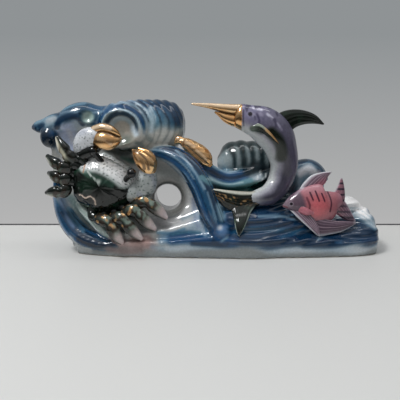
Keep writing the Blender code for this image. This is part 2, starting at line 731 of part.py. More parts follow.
def on_shell(angle, share, depth):
    """A place on the carapace: an angle from the crab's right side, a share of its outline and a depth."""
    turn, tilt = math.radians(angle), -math.radians(CRAB_TILT)
    side = math.cos(turn) * CARAPACE_WIDTH / 2 * share
    ahead = math.sin(turn) * CARAPACE_LENGTH / 2 * share
    x = side * math.cos(tilt) - ahead * math.sin(tilt)
    z = side * math.sin(tilt) + ahead * math.cos(tilt)
    return np.array(CRAB_CENTRE) + (x, depth, z)


def carapace():
    """The domed shell, wide across and tilted. Its front edge is scalloped and its rear edge wavy."""
    outline = []
    angles = np.linspace(0, 360, 20, endpoint=False)
    scallop = 1.0 + 0.035 * np.cos(np.radians(6 * angles))
    for share, behind in CARAPACE_RINGS:
        rounded = [on_shell(a, share * s, behind * CARAPACE_DOME) for a, s in zip(angles, scallop)]
        outline.append(np.array(rounded))
    return solid_from_rings("carapace", "crab_green", outline)


def crab():
    """The crab: carapace, two stalked eyes, two gilt claws on speckled arms and eight bent legs."""
    centre = np.array(CRAB_CENTRE)
    forms = [carapace()]
    radius = EYE_DIAMETER / 2
    for name, place, angle in (("right_eye", RIGHT_EYE, 42.0), ("left_eye", LEFT_EYE, 105.0)):
        root = on_shell(angle, 0.72, -2.5)
        stalk = ((*root, 0.7 * radius, 0.7 * radius), (*place, 0.6 * radius, 0.6 * radius))
        forms.append(swept(f"{name}_stalk", "crab_green", stalk, 3, 6))
        forms.append(ball(name, "eye_black", place, (radius, radius, radius), 6, 8))
    for side, legs in (("right", RIGHT_LEGS), ("left", LEFT_LEGS)):
        for number, (angle, knee, shin, tip) in enumerate(legs, 1):
            half = LEG_THICKNESS / 2
            root = on_shell(angle, 0.72, -1.0)
            hip = on_shell(angle, 1.04, -2.4)
            rows = (
                (*root, half, half),
                (*hip, half * 0.95, half),
                (*(centre + knee), half * 1.25, half * 1.1),
                (*(centre + shin), half * 1.1, half),
                (*(centre + tip), half * 0.5, half * 0.5),
            )
            forms.append(swept(f"{side}_leg_{number}", "crab_green", rows, 7, 7))
    left_shoulder = (
        (-69.5, -15.0, 53.0, 2.6, 3.2),
        (-64.5, -19.5, 55.8, 3.4, 3.4),
        (-59.0, -20.5, 58.4, 3.2, 3.2),
        (-55.5, -20.0, 60.4, 2.2, 2.4),
    )
    left_arm = (
        (-66.0, -16.0, 53.8, 3.0, 3.0),
        (-66.6, -17.5, 57.6, 3.8, 3.8),
        (-65.2, -19.5, 61.6, 4.8, 4.4),
        (-62.4, -20.5, 64.2, 5.4, 4.8),
        (-58.8, -21.5, 65.0, 5.2, 4.6),
        (-55.6, -22.0, 64.6, 4.0, 4.0),
    )
    left_palm = (
        (-58.6, -21.5, 64.6, 3.6, 3.6),
        (-56.2, -22.0, 63.9, 4.4, 4.2),
        (-53.0, -23.5, 63.4, 5.0, 4.6),
        (-49.4, -24.0, 62.9, 4.7, 4.2),
        (-46.3, -23.5, 63.3, 3.0, 3.0),
        (-43.8, -23.0, 64.4, 0.8, 0.9),
    )
    left_finger = (
        (-58.0, -21.5, 68.6, 2.4, 2.8),
        (-53.2, -23.2, 69.8, 2.5, 2.8),
        (-49.0, -23.8, 68.9, 2.2, 2.5),
        (-46.0, -23.5, 67.2, 1.5, 1.8),
        (-44.0, -23.0, 65.2, 0.5, 0.6),
    )
    right_arm = (
        (-43.6, -17.0, 32.8, 3.8, 3.4),
        (-38.0, -19.0, 33.9, 4.9, 4.4),
        (-32.4, -20.0, 37.9, 6.0, 5.0),
        (-30.4, -20.5, 42.9, 5.4, 4.8),
        (-30.6, -20.5, 47.4, 4.2, 4.0),
    )
    right_palm = (
        (-29.8, -20.8, 46.0, 3.8, 3.6),
        (-29.9, -22.0, 49.6, 4.8, 4.4),
        (-32.6, -23.0, 53.0, 4.5, 4.2),
        (-36.1, -22.5, 56.5, 2.4, 2.6),
        (-37.9, -22.0, 58.0, 0.7, 0.8),
    )
    right_finger = (
        (-28.0, -21.0, 47.6, 2.6, 2.6),
        (-27.6, -22.0, 52.6, 2.6, 2.6),
        (-30.4, -22.5, 56.6, 2.1, 2.3),
        (-34.7, -22.0, 58.9, 0.6, 0.8),
    )
    return forms + [
        swept("left_shoulder", "crab_green", left_shoulder, 6, 8),
        swept("left_arm", "crab_speckle", left_arm, 8, 8),
        swept("left_palm", "gold_lustre", left_palm, 7, 8),
        swept("left_finger", "gold_lustre", left_finger, 6, 6),
        swept("right_arm", "crab_speckle", right_arm, 7, 8),
        swept("right_palm", "gold_lustre", right_palm, 7, 8),
        swept("right_finger", "gold_lustre", right_finger, 6, 6),
    ]


def cavities():
    """Cutters for the hollow that the slip leaves, about a wall inside sea and bowl, and for the vent."""
    length = SEA_RIGHT - SEA_LEFT
    rows = [(u * length, 0.0, 0.0, *rest) for u, *rest in SEA_ROWS[2:-2]]
    rise = np.linspace(0, 1, 4)
    outline = []
    for u, _, _, front, back, crest_y, crest_z, fullness in smooth_rows(rows, 12):
        near, far = front * SEA_FRONT + 1.7 * WALL, back * SEA_BACK - 1.5 * WALL
        low, top = WALL, crest_z - 1.6 * WALL
        height = low + (top - low) * rise
        front_y = near + (crest_y - 0.6 * WALL - near) * rise**fullness
        back_y = (far + (crest_y + 0.6 * WALL - far) * rise**1.7)[::-1]
        section = [*zip(front_y, height), *zip(back_y, height[::-1])]
        outline.append(np.array([(SEA_LEFT + u, y, z) for y, z in section]))
    sea_cavity = solid_from_rings("sea_cavity", "porcelain_white", outline)
    middle = (BOWL_FACE + BOWL_BACK) / 2
    thickness = (BOWL_BACK - BOWL_FACE) / 2 - WALL
    radii = (19.0, thickness, 29.5)
    bowl_cavity = ball("bowl_cavity", "porcelain_white", (-53.0, middle, 36.0), radii, 7, 12)
    x, y = VENT_CENTRE
    angle = np.linspace(0, 2 * math.pi, 16, endpoint=False)
    radius = VENT_DIAMETER / 2
    outline = [
        np.stack([x + radius * np.cos(angle), y + radius * np.sin(angle), np.full(16, z)], axis=1)
        for z in (-WALL, 2.5 * WALL)
    ]
    vent = solid_from_rings("vent", "porcelain_white", outline)
    return [sea_cavity, bowl_cavity, vent]


def group(name, forms):
    """A collection of helper forms, kept out of the render."""
    collection = bpy.data.collections.new(name)
    for obj in forms:
        obj.hide_render = True
        obj.display_type = "WIRE"
        for other in list(obj.users_collection):
            other.objects.unlink(obj)
        collection.objects.link(obj)
    bpy.context.scene.collection.children.link(collection)
    return collection


def combine(body, name, forms, operation):
    """Adds a Boolean that joins or cuts a whole group of forms."""
    modifier = body.modifiers.new(name, "BOOLEAN")
    modifier.operation = operation
    modifier.operand_type = "COLLECTION"
    modifier.collection = group(name, forms)
    modifier.solver = "EXACT"
    modifier.material_mode = "TRANSFER"


def main():
    """Builds the figurine as one fired body."""
    clear_scene()
    body = sea()
    body.name = "figurine"
    combine(body, "water", [bowl(), *crest(), *barrels(), *ridges(), *back_waves()], "UNION")
    combine(body, "openings", [*scoops(), hole()], "DIFFERENCE")
    combine(body, "creatures", [*marlin(), *angelfish(), *gilt_fish(), *crab()], "UNION")
    combine(body, "hollow", cavities(), "DIFFERENCE")


main()
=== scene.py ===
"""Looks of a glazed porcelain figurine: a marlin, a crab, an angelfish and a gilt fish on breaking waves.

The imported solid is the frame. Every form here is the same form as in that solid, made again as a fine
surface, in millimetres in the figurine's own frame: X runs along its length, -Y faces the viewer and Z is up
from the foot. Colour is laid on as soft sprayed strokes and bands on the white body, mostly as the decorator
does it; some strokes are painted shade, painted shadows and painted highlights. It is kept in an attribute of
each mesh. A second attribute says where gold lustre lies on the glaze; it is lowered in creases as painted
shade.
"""

from __future__ import annotations

import logging
import math
from dataclasses import dataclass, field
from enum import Enum
from typing import Callable, Sequence

import bpy
import numpy as np
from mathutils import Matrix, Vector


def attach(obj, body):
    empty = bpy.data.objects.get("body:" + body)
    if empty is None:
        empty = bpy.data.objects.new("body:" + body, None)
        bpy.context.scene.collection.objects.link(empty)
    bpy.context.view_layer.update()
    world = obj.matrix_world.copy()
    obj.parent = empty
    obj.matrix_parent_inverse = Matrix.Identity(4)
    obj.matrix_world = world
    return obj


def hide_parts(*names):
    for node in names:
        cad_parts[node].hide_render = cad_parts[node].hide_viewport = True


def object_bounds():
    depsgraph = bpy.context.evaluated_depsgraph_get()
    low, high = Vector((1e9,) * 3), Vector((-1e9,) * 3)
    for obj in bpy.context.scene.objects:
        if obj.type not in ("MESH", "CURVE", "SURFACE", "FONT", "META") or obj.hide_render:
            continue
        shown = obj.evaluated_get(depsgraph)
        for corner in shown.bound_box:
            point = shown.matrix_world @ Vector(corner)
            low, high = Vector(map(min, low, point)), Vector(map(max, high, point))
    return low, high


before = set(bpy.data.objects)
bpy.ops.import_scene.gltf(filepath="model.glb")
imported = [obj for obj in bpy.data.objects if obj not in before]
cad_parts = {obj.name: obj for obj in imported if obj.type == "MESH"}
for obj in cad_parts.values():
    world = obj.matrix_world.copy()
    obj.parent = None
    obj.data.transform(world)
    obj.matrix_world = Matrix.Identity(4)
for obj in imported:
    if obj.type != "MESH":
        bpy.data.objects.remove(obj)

CAD_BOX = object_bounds()

LOG = logging.getLogger("figurine")
MM = 0.001
TAU = 2 * math.pi
BODY = "root"
NODE = "figurine"

Array = np.ndarray
Rows = Sequence[Sequence[float]]
Relief = Callable[[Array, Array], Array]
Material = bpy.types.Material
Mesh = bpy.types.Mesh
Node = bpy.types.Node
NodeSocket = bpy.types.NodeSocket
NodeTree = bpy.types.NodeTree
Object = bpy.types.Object


class Side(Enum):
    """Which side of the figurine a sprayed stroke reaches."""

    FRONT = -1
    BOTH = 0
    BACK = 1


# Colour


def srgb(hex_colour: str) -> Array:
    """The three sRGB channels of a hex colour, from 0 to 1."""
    return np.array([int(hex_colour[i : i + 2], 16) / 255 for i in (1, 3, 5)])


def linear(channels: Array) -> Array:
    """sRGB channels turned to linear light by the sRGB curve."""
    return np.where(channels > 0.04045, ((channels + 0.055) / 1.055) ** 2.4, channels / 12.92)


def shade(hex_colour: str) -> tuple[float, float, float, float]:
    """A hex colour as a shader socket takes it."""
    return (*linear(srgb(hex_colour)).tolist(), 1)


def step(low: float, high: float, value: Array) -> Array:
    """A soft step: 0 below low, 1 above high and 3t² - 2t³ between. With low above high it falls."""
    t = np.clip((value - low) / (high - low), 0, 1)
    return t * t * (3 - 2 * t)


# Surfaces


def smooth_rows(rows: Rows, count: int, closed: bool = False, places: int = 3) -> Array:
    """Rows read at even spacing from a smooth curve through a table.

    Between two rows the curve is the cubic h00·p0 + h10·m0 + h01·p1 + h11·m1, with central slopes.

    Args:
        rows: the table, whose first columns are a place.
        count: how many rows come out.
        closed: whether the curve returns to its first row.
        places: how many columns the spacing is measured in.

    Returns:
        An array of count rows.
    """
    table = np.array(rows, float)
    if closed:
        table = np.vstack([table[-2:], table, table[:3]])
    knots = np.concatenate([[0], np.cumsum(np.linalg.norm(np.diff(table[:, :places], axis=0), axis=1))])
    slopes = np.gradient(table, knots, axis=0)
    first, last = (knots[2], knots[-3]) if closed else (knots[0], knots[-1])
    stops = np.linspace(first, last, count + 1)[:-1] if closed else np.linspace(first, last, count)
    cell = np.clip(np.searchsorted(knots, stops, side="right") - 1, 0, len(knots) - 2)
    span = (knots[cell + 1] - knots[cell])[:, None]
    t = (stops - knots[cell])[:, None] / span
    rise, fall = slopes[cell] * span, slopes[cell + 1] * span
    return (
        (2 * t**3 - 3 * t**2 + 1) * table[cell] + (t**3 - 2 * t**2 + t) * rise + (3 * t**2 - 2 * t**3)
        * table[cell + 1] + (t**3 - t**2) * fall
    )


def unit(vectors: Array) -> Array:
    """Vectors scaled to length one."""
    return vectors / np.maximum(np.linalg.norm(vectors, axis=-1, keepdims=True), 1e-9)


@dataclass(frozen=True)
class Skin:
    """A closed surface of rings: its points in millimetres, its faces, and where each point lies on it."""

    points: Array
    quads: Array
    fans: Array
    share: Array
    angle: Array

    def joined(self, other: "Skin") -> "Skin":
        """This surface and another one as a single set of points and faces."""
        more = len(self.points)
        return Skin(
            np.vstack([self.points, other.points]), np.vstack([self.quads, other.quads + more]),
            np.vstack([self.fans, other.fans + more]), np.concatenate([self.share, other.share]),
            np.concatenate([self.angle, other.angle]),
        )


def merged(skins: Sequence[Skin]) -> Skin:
    """Several surfaces as one, in their order."""
    whole = skins[0]
    for skin in skins[1:]:
        whole = whole.joined(skin)
    return whole


def skinned(rings: Array, angle: Array) -> Skin:
    """Rings of points joined by quads, with a fan of triangles at each end, and faces that point out.

    Args:
        rings: points, ring by ring, of shape (rings, sides, 3).
        angle: the angle round the ring of each side.

    Returns:
        The closed surface. Its signed volume, the sum of a·(b×c)/6 over its triangles, is above zero.
    """
    count, sides = rings.shape[:2]
    index = np.arange(count * sides).reshape(count, sides)
    turned = np.roll(index, -1, axis=1)
    quads = np.stack([index[:-1], turned[:-1], turned[1:], index[1:]], axis=-1).reshape(-1, 4)
    start, end = count * sides, count * sides + 1
    first = np.stack([turned[0], index[0], np.full(sides, start)], axis=-1)
    last = np.stack([index[-1], turned[-1], np.full(sides, end)], axis=-1)
    fans = np.vstack([first, last])
    points = np.vstack([rings.reshape(-1, 3), rings[0].mean(axis=0), rings[-1].mean(axis=0)])
    corners = np.vstack([quads[:, :3], quads[:, [0, 2, 3]], fans])
    a, b, c = (points[corners[:, i]] for i in range(3))
    if np.einsum("ij,ij->", a, np.cross(b, c)) < 0:
        quads, fans = quads[:, ::-1], fans[:, ::-1]
    share = np.concatenate([np.repeat(np.linspace(0, 1, count), sides), [0, 1]])
    return Skin(points, quads, fans, share, np.concatenate([np.tile(angle, count), [0, 0]]))


def lofted(centre: Array, across: Array, depth: Array, sides: int, relief: Relief | None = None) -> Skin:
    """Ovals along a line: point = centre + across·cos(angle) + depth·sin(angle), plus the relief outwards.

    Args:
        centre: the middle of each ring.
        across: the first half axis of each ring, as a vector.
        depth: its second half axis.
        sides: points round each ring.
        relief: gives a height in millimetres from the share along and the angle round.

    Returns:
        The closed surface.
    """
    angle = np.linspace(0, TAU, sides, endpoint=False)
    arm = across[:, None] * np.cos(angle)[None, :, None] + depth[:, None] * np.sin(angle)[None, :, None]
    if relief:
        share = np.linspace(0, 1, len(centre))
        arm = arm + unit(arm) * relief(share[:, None], angle[None, :])[..., None]
    return skinned(centre[:, None] + arm, angle)


def ring_frame(path: Array) -> tuple[Array, Array]:
    """The across and depth ways of a sweep: depth lies as near to Y as it can, and across is square to it."""
    along = unit(np.gradient(path[:, :3], axis=0))
    depth_way = np.array((0, 1, 0))
    flat = unit(depth_way - along * (along @ depth_way)[:, None])
    return np.cross(along, flat), flat


def swept(rows: Rows, rings: int, sides: int, relief: Relief | None = None, cap: float = 0.6) -> Skin:
    """An oval carried along a smooth path of rows x, y, z, half width, half depth, with rounded ends.

    Args:
        rows: the path and its half sizes.
        rings: rings along it.
        sides: points round it.
        relief: height in millimetres from the share along and the angle round.
        cap: how far each end bulges, as a share of its smaller half size. The bulge is a quarter ellipse.

    Returns:
        The closed surface.
    """
    path = smooth_rows(rows, rings)
    across, flat = ring_frame(path)
    along = unit(np.gradient(path[:, :3], axis=0))
    tilt = np.radians(np.linspace(82, 0, 7)[:-1])
    bulge = cap * np.minimum(path[:, 3], path[:, 4])
    near = path[0, :3] - along[0] * (bulge[0] * np.sin(tilt))[:, None]
    far = (path[-1, :3] + along[-1] * (bulge[-1] * np.sin(tilt))[:, None])[::-1]
    slim = np.cos(tilt)
    centre = np.vstack([near, path[:, :3], far])
    half = np.vstack([slim[:, None] * path[0, 3:5], path[:, 3:5], slim[::-1, None] * path[-1, 3:5]])
    repeat = [len(tilt) + 1] + [1] * (rings - 2) + [len(tilt) + 1]
    across, flat = np.repeat(across, repeat, axis=0), np.repeat(flat, repeat, axis=0)
    return lofted(centre, across * half[:, :1], flat * half[:, 1:], sides, relief)


def blade(
    leading: Rows, trailing: Rows, thickness: float, rays: int, rings: int = 36, sides: int = 48
) -> Skin:
    """A fin between two edge curves that run from root to tip, with a lens section and fine rays along it.

    The half thickness is thickness/2·sqrt(1 - 0.85·share²), and each ray groove takes up to a fifth of it.

    Args:
        leading: points of the front edge.
        trailing: points of the rear edge.
        thickness: thickness in the middle of the root.
        rays: how many grooves run from root to tip.
        rings: rings from root to tip.
        sides: points round each ring.

    Returns:
        The closed surface.
    """
    front, rear = smooth_rows(leading, rings), smooth_rows(trailing, rings)
    centre, half = (front + rear) / 2, (front - rear) / 2
    along = unit(np.gradient(centre, axis=0))
    normal = unit(np.cross(along, unit(half)))
    share = np.linspace(0, 1, rings)
    thick = thickness / 2 * np.sqrt(1 - 0.85 * share**2)

    def groove(_: Array, angle: Array) -> Array:
        place = (np.cos(angle) + 1) / 2
        return -0.2 * thickness / 2 * (0.5 - 0.5 * np.cos(TAU * rays * place)) * np.abs(np.sin(angle))

    return lofted(centre, half, normal * thick[:, None], sides, groove if rays else None)


def ball(centre: Sequence[float], radii: Sequence[float], rings: int = 24, sides: int = 36) -> Skin:
    """An egg shape: centre + radii·(cos a·cos t, sin a·cos t, sin t)."""
    angle = np.linspace(0, TAU, sides, endpoint=False)
    tilt = np.linspace(-math.pi / 2, math.pi / 2, rings + 2)[1:-1]
    way = np.stack(
        [
            np.cos(angle)[None] * np.cos(tilt)[:, None], np.sin(angle)[None] * np.cos(tilt)[:, None],
            np.broadcast_to(np.sin(tilt)[:, None], (rings, sides)),
        ],
        axis=-1,
    )
    return skinned(np.array(centre) + way * np.array(radii), angle)


def nearest_on(points: Array, path: Array) -> tuple[Array, Array, Array]:
    """Where points lie beside a line that is seen from the front, in X and Z.

    Args:
        points: places, of which X and Z are used.
        path: a line of X and Z.

    Returns:
        The distance of each point from the line, signed by the side it lies on, its share along the line,
        and the plain distance.
    """
    flat = points[:, (0, 2)]
    best = np.full(len(flat), 1e9)
    signed, share = np.zeros(len(flat)), np.zeros(len(flat))
    lengths = np.concatenate([[0], np.cumsum(np.linalg.norm(np.diff(path, axis=0), axis=1))])
    for i, (start, end) in enumerate(zip(path, path[1:])):
        way = end - start
        size = max(float(way @ way), 1e-12)
        t = np.clip(((flat - start) @ way) / size, 0, 1)
        gap = flat - (start + t[:, None] * way)
        distance = np.hypot(gap[:, 0], gap[:, 1])
        nearer = distance < best
        best = np.where(nearer, distance, best)
        turn = way[0] * gap[:, 1] - way[1] * gap[:, 0]
        signed = np.where(nearer, np.sign(turn) * distance, signed)
        share = np.where(nearer, (lengths[i] + t * math.sqrt(size)) / lengths[-1], share)
    return signed, share, best


def around(points: Array, rows: Rows, samples: int = 90) -> tuple[Array, Array, Array]:
    """Where points lie on a swept form.

    Args:
        points: places in millimetres.
        rows: the form's rows x, y, z, half width, half depth.
        samples: how finely its path is read.

    Returns:
        The share along, the angle round, and the reach: the distance from the path as a share of the form's
        size there, which is 1 on its surface.
    """
    path = smooth_rows(rows, samples)
    across, flat = ring_frame(path)
    nearest = np.empty(len(points), int)
    for first in range(0, len(points), 20000):
        some = points[first : first + 20000]
        gaps = ((some[:, None] - path[None, :, :3]) ** 2).sum(axis=2)
        nearest[first : first + 20000] = gaps.argmin(axis=1)
    gap = points - path[nearest, :3]
    u = (gap * across[nearest]).sum(axis=1) / path[nearest, 3]
    v = (gap * flat[nearest]).sum(axis=1) / path[nearest, 4]
    lengthwise = (gap * np.cross(across[nearest], flat[nearest])).sum(axis=1)
    beyond = np.abs(lengthwise) / np.minimum(path[nearest, 3], path[nearest, 4])
    return nearest / (samples - 1), np.arctan2(v, u), np.sqrt(u**2 + v**2 + beyond**2)


def ripple_noise(points: Array, size: float, seed: int) -> Array:
    """A smooth random field from about -1 to 1: nine plane waves of about the given length in mm."""
    random = np.random.default_rng(seed)
    ways = unit(random.normal(size=(9, 3))) * TAU / size * random.uniform(0.7, 1.5, (9, 1))
    return np.sin(points @ ways.T + random.uniform(0, TAU, 9)).mean(axis=1) * 2.2


class Coat:
    """The glaze colours on a set of points. Each layer is mixed over what is there, as when it is sprayed."""

    def __init__(self, points: Array, base: str, facing: Array | None = None) -> None:
        """Starts as one plain glaze. facing is the Y part of each point's normal, which tells its side."""
        self.points = points
        self.colour = np.tile(srgb(base), (len(points), 1))
        self.lustre = np.zeros(len(points))
        self.facing = np.full(len(points), -1) if facing is None else facing

    @classmethod
    def merged(cls, coats: Sequence["Coat"]) -> "Coat":
        """The coats of several surfaces as one, in their order."""
        whole = cls(np.vstack([coat.points for coat in coats]), POTS.white)
        whole.colour = np.vstack([coat.colour for coat in coats])
        whole.lustre = np.concatenate([coat.lustre for coat in coats])
        return whole

    def lay(self, hex_colour: str, weight: Array) -> None:
        """Mixes a colour over the coat by the weight of each point."""
        share = np.clip(weight, 0, 1)[:, None]
        self.colour += (srgb(hex_colour) - self.colour) * share

    def gild(self, weight: Array) -> None:
        """Lays gold lustre over the coat."""
        self.lustre = np.maximum(self.lustre, np.clip(weight, 0, 1))

    def beside(self, path: Rows, width: float, full: float) -> Array:
        """How near a point is to a smooth line of X and Z: 1 up to full·width and 0 from the width."""
        line = smooth_rows(path, 6 * len(path), places=2)
        return step(width, full * width, nearest_on(self.points, line)[2])

    def shade_crease(self, path: Rows, width: float, strength: float) -> None:
        """Takes the lustre off along a line of X and Z, so that the dark ground shows there as painted shade
        in a crease or gap.
        """
        self.lustre = self.lustre * (1 - strength * self.beside(path, width, 0.4))

    def thin(self, path: Rows, width: float, strength: float) -> None:
        """Lays cream over the gold and thins its lustre along a line of X and Z: a painted highlight on the
        gilt.
        """
        weight = strength * self.beside(path, width, 0.2)
        self.lay("#FFF0D8", weight * self.lustre)
        self.lustre = self.lustre * (1 - 0.55 * weight)

    def reach(self, side: Side) -> Array:
        """How much of a stroke each point takes for the side that it faces."""
        if side is Side.BOTH:
            return np.ones(len(self.points))
        return step(-0.25, 0.25, self.facing * side.value)

    def stroke(
        self, hex_colour: str, path: Rows, width: float, strength: float = 1, soft: float = 0.6,
        side: Side = Side.BOTH,
    ) -> None:
        """Sprays a stroke along a line of X and Z.

        Args:
            hex_colour: the colour.
            path: points of the line, in millimetres. One point alone makes a spot.
            width: half width to the outer edge of the spray.
            strength: how much it covers in its middle.
            soft: the share of the half width over which it fades.
            side: which side of the figurine it reaches.
        """
        line = np.array(path if len(path) > 1 else [path[0], path[0]], float)
        if len(path) > 2:
            line = smooth_rows(line, 6 * len(path), places=2)
        near = (
            np.abs(self.points[:, 0] - line[:, 0].mean()) < np.ptp(line[:, 0]) / 2 + width
        ) & (np.abs(self.points[:, 2] - line[:, 1].mean()) < np.ptp(line[:, 1]) / 2 + width)
        weight = np.zeros(len(self.points))
        distance = nearest_on(self.points[near], line)[2]
        weight[near] = strength * step(width, width * (1 - soft), distance)
        self.lay(hex_colour, weight * self.reach(side))

    def strokes(self, side: Side, *rows: tuple) -> None:
        """Sprays strokes on one side. A row is a colour, a path, a half width, a strength and a softness."""
        for row in rows:
            self.stroke(*row, side)

    def patches(self, size: float, seed: int, low: float, high: float) -> Array:
        """Soft random patches of about a size in mm: a step from low to high through a ripple field."""
        return step(low, high, ripple_noise(self.points, size, seed))

    def combed(
        self, hex_colour: str, path: Rows, width: float, spacing: float, strength: float,
        side: Side = Side.FRONT,
    ) -> None:
        """Draws fine lines beside a line of X and Z, as a brush of stiff hairs does.

        The weight is a soft step of sin(2π·distance/spacing + wander), and the wander is a slow random field.

        Args:
            hex_colour: the colour.
            path: points of the line, in millimetres.
            width: how far from it the lines reach.
            spacing: from one line to the next.
            strength: how much they cover.
            side: which side of the figurine they are on.
        """
        line = smooth_rows(path, 6 * len(path), places=2)
        signed, _, distance = nearest_on(self.points, line)
        wander = 1.2 * ripple_noise(self.points, 5 * spacing, int(10 * spacing) + len(path))
        lines = step(0.1, 0.9, np.sin(TAU * signed / spacing + wander))
        self.lay(hex_colour, strength * lines * step(width, 0.6 * width, distance) * self.reach(side))


@dataclass(frozen=True)
class Pots:
    """The underglaze colours that the decorator sprays, by the look that each has on the fired white body."""

    white: str = "#C9CED1"
    mist: str = "#A3B2BC"
    pale: str = "#8AA4B6"
    teal: str = "#3F6C84"
    blue: str = "#23577F"
    navy: str = "#11406A"
    deep: str = "#0B2A45"
    ink: str = "#081A2B"


POTS = Pots()


# Materials


def add(tree: NodeTree, kind: str, settings: dict | None = None, **inputs: object) -> Node:
    """Adds a node to a tree.

    Args:
        tree: the material's or the world's node tree.
        kind: the node's type.
        settings: the node's own properties.
        inputs: values or sockets for its inputs, by name with spaces as underscores, or by number as i0, i1.

    Returns:
        The node.
    """
    node = tree.nodes.new(kind)
    for name, value in (settings or {}).items():
        setattr(node, name, value)
    for name, value in inputs.items():
        key = int(name[1:]) if name[0] == "i" and name[1:].isdigit() else name.replace("_", " ")
        socket = node.inputs[key]
        if isinstance(value, NodeSocket):
            tree.links.new(value, socket)
        else:
            socket.default_value = value
    return node


def new_material(name: str) -> tuple[Material, NodeTree]:
    """A material with an empty node tree."""
    material = bpy.data.materials.new(name)
    material.use_nodes = True
    material.node_tree.nodes.clear()
    return material, material.node_tree


def mixed(tree: NodeTree, factor: NodeSocket, low: object, high: object) -> NodeSocket:
    """A colour that goes from low to high with the factor."""
    mix = add(tree, "ShaderNodeMix", {"data_type": "RGBA"}, Factor=factor, A=low, B=high)
    return next(socket for socket in mix.outputs if socket.type == "RGBA")


def finish_tree(tree: NodeTree, surface: NodeSocket) -> None:
    """Links a surface to the material's output."""
    add(tree, "ShaderNodeOutputMaterial", Surface=surface)


@dataclass(frozen=True)
class GlazedPorcelain:
    """White porcelain, sprayed with underglaze colour and dipped in clear glaze.

    The fired glaze is a thick, wet-looking glass: a sharp gloss over colour that lies beneath it, with the
    faint waviness of a dipped coat. Gold lustre is a metal film fired on top, a little rougher than it.
    """

    name: str = "clear_glazed_porcelain"
    roughness: float = 0.13
    ior: float = 1.52
    coat: float = 0.25
    coat_roughness: float = 0.09
    gilt_roughness: float = 0.07
    waviness_mm: float = 3.2
    waviness_depth_mm: float = 0.5
    mottle_mm: float = 1.1
    patch_mm: float = 4
    mottle: float = 0.1
    gold_light: str = "#FFE0AC"
    gold_deep: str = "#E69A50"

    def build(self) -> Material:
        """The material. Colour is the Glaze attribute with a slight mottle, and Lustre turns it to gold."""
        material, tree = new_material(self.name)
        place = add(tree, "ShaderNodeTexCoord").outputs["Object"]
        colour = add(tree, "ShaderNodeAttribute", {"attribute_name": "Glaze"}).outputs["Color"]
        lustre = add(tree, "ShaderNodeAttribute", {"attribute_name": "Lustre"}).outputs["Fac"]
        # Pigment gathers in specks about a millimetre across, so the colour is never quite even.
        mottle = add(tree, "ShaderNodeTexNoise", Vector=place, Scale=1 / (self.mottle_mm * MM), Detail=3)
        level = add(
            tree, "ShaderNodeMapRange", Value=mottle.outputs["Fac"], From_Min=0.3, From_Max=0.7,
            To_Min=1 - self.mottle, To_Max=1 + self.mottle,
        )
        toned = add(
            tree, "ShaderNodeVectorMath", {"operation": "SCALE"}, i0=colour, Scale=level.outputs["Result"]
        )
        # The lustre was brushed on, so it is a little thicker and redder in patches some millimetres across.
        patch = add(tree, "ShaderNodeTexNoise", Vector=place, Scale=1 / (self.patch_mm * MM), Detail=2)
        gold = mixed(tree, patch.outputs["Fac"], shade(self.gold_light), shade(self.gold_deep))
        self.gloss(tree, place, lustre, mixed(tree, lustre, toned.outputs["Vector"], gold))
        return material

    def gloss(self, tree: NodeTree, place: NodeSocket, lustre: NodeSocket, colour: NodeSocket) -> None:
        """Joins colour, gloss and the waviness of the dipped coat in one shader.

        Args:
            tree: the material's node tree.
            place: object coordinates.
            lustre: how much gold lies on the glaze.
            colour: the colour of glaze and gold.
        """
        wave = add(tree, "ShaderNodeTexNoise", Vector=place, Scale=1 / (self.waviness_mm * MM), Detail=1.5)
        bump = add(
            tree, "ShaderNodeBump", Height=wave.outputs["Fac"], Strength=0.12,
            Distance=self.waviness_depth_mm * MM,
        )
        gilt = self.roughness + self.gilt_roughness
        rough = add(tree, "ShaderNodeMapRange", Value=lustre, To_Min=self.roughness, To_Max=gilt)
        shader = add(
            tree, "ShaderNodeBsdfPrincipled", Base_Color=colour, Metallic=lustre,
            Roughness=rough.outputs["Result"], IOR=self.ior, Coat_Weight=self.coat,
            Coat_Roughness=self.coat_roughness, Normal=bump.outputs["Normal"],
        )
        finish_tree(tree, shader.outputs["BSDF"])


# Meshes


def linked(name: str, data: bpy.types.ID) -> Object:
    """An object of some data, linked to the scene."""
    obj = bpy.data.objects.new(name, data)
    bpy.context.scene.collection.objects.link(obj)
    return obj


def mesh_of(name: str, skin: Skin) -> Mesh:
    """A Blender mesh, in metres, of a surface in millimetres."""
    mesh = bpy.data.meshes.new(name)
    mesh.from_pydata((skin.points * MM).tolist(), [], skin.quads.tolist() + skin.fans.tolist())
    mesh.update()
    return mesh


def within_frame(points: Array) -> Array:
    """Points in millimetres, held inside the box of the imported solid."""
    low, high = (np.array(corner) / MM for corner in CAD_BOX)
    return np.clip(points, low, high)


def dress(name: str, skin: Skin, coat: Coat, material: Material) -> Object:
    """Makes a finished piece: its mesh, its colour and lustre, its material and the body it rides on."""
    mesh = mesh_of(name, Skin(within_frame(skin.points), skin.quads, skin.fans, skin.share, skin.angle))
    put_coat(mesh, coat)
    return place_piece(name, mesh, material)


def put_coat(mesh: Mesh, coat: Coat) -> None:
    """Stores a coat on a mesh as one linear colour and one lustre value for each vertex."""
    colour = mesh.attributes.new("Glaze", "FLOAT_COLOR", "POINT")
    channels = np.ones((len(coat.points), 4))
    channels[:, :3] = linear(np.clip(coat.colour, 0, 1))
    colour.data.foreach_set("color", channels.astype(np.float32).ravel())
    lustre = mesh.attributes.new("Lustre", "FLOAT", "POINT")
    lustre.data.foreach_set("value", coat.lustre.astype(np.float32))


def place_piece(name: str, mesh: Mesh, material: Material) -> Object:
    """Links a mesh to the scene as a smooth piece that rides on the body and stands for the CAD node."""
    mesh.materials.append(material)
    mesh.shade_smooth()
    obj = linked(name, mesh)
    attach(obj, BODY)
    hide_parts(NODE)
    LOG.info("%s: %d vertices, %d faces", name, len(mesh.vertices), len(mesh.polygons))
    return obj


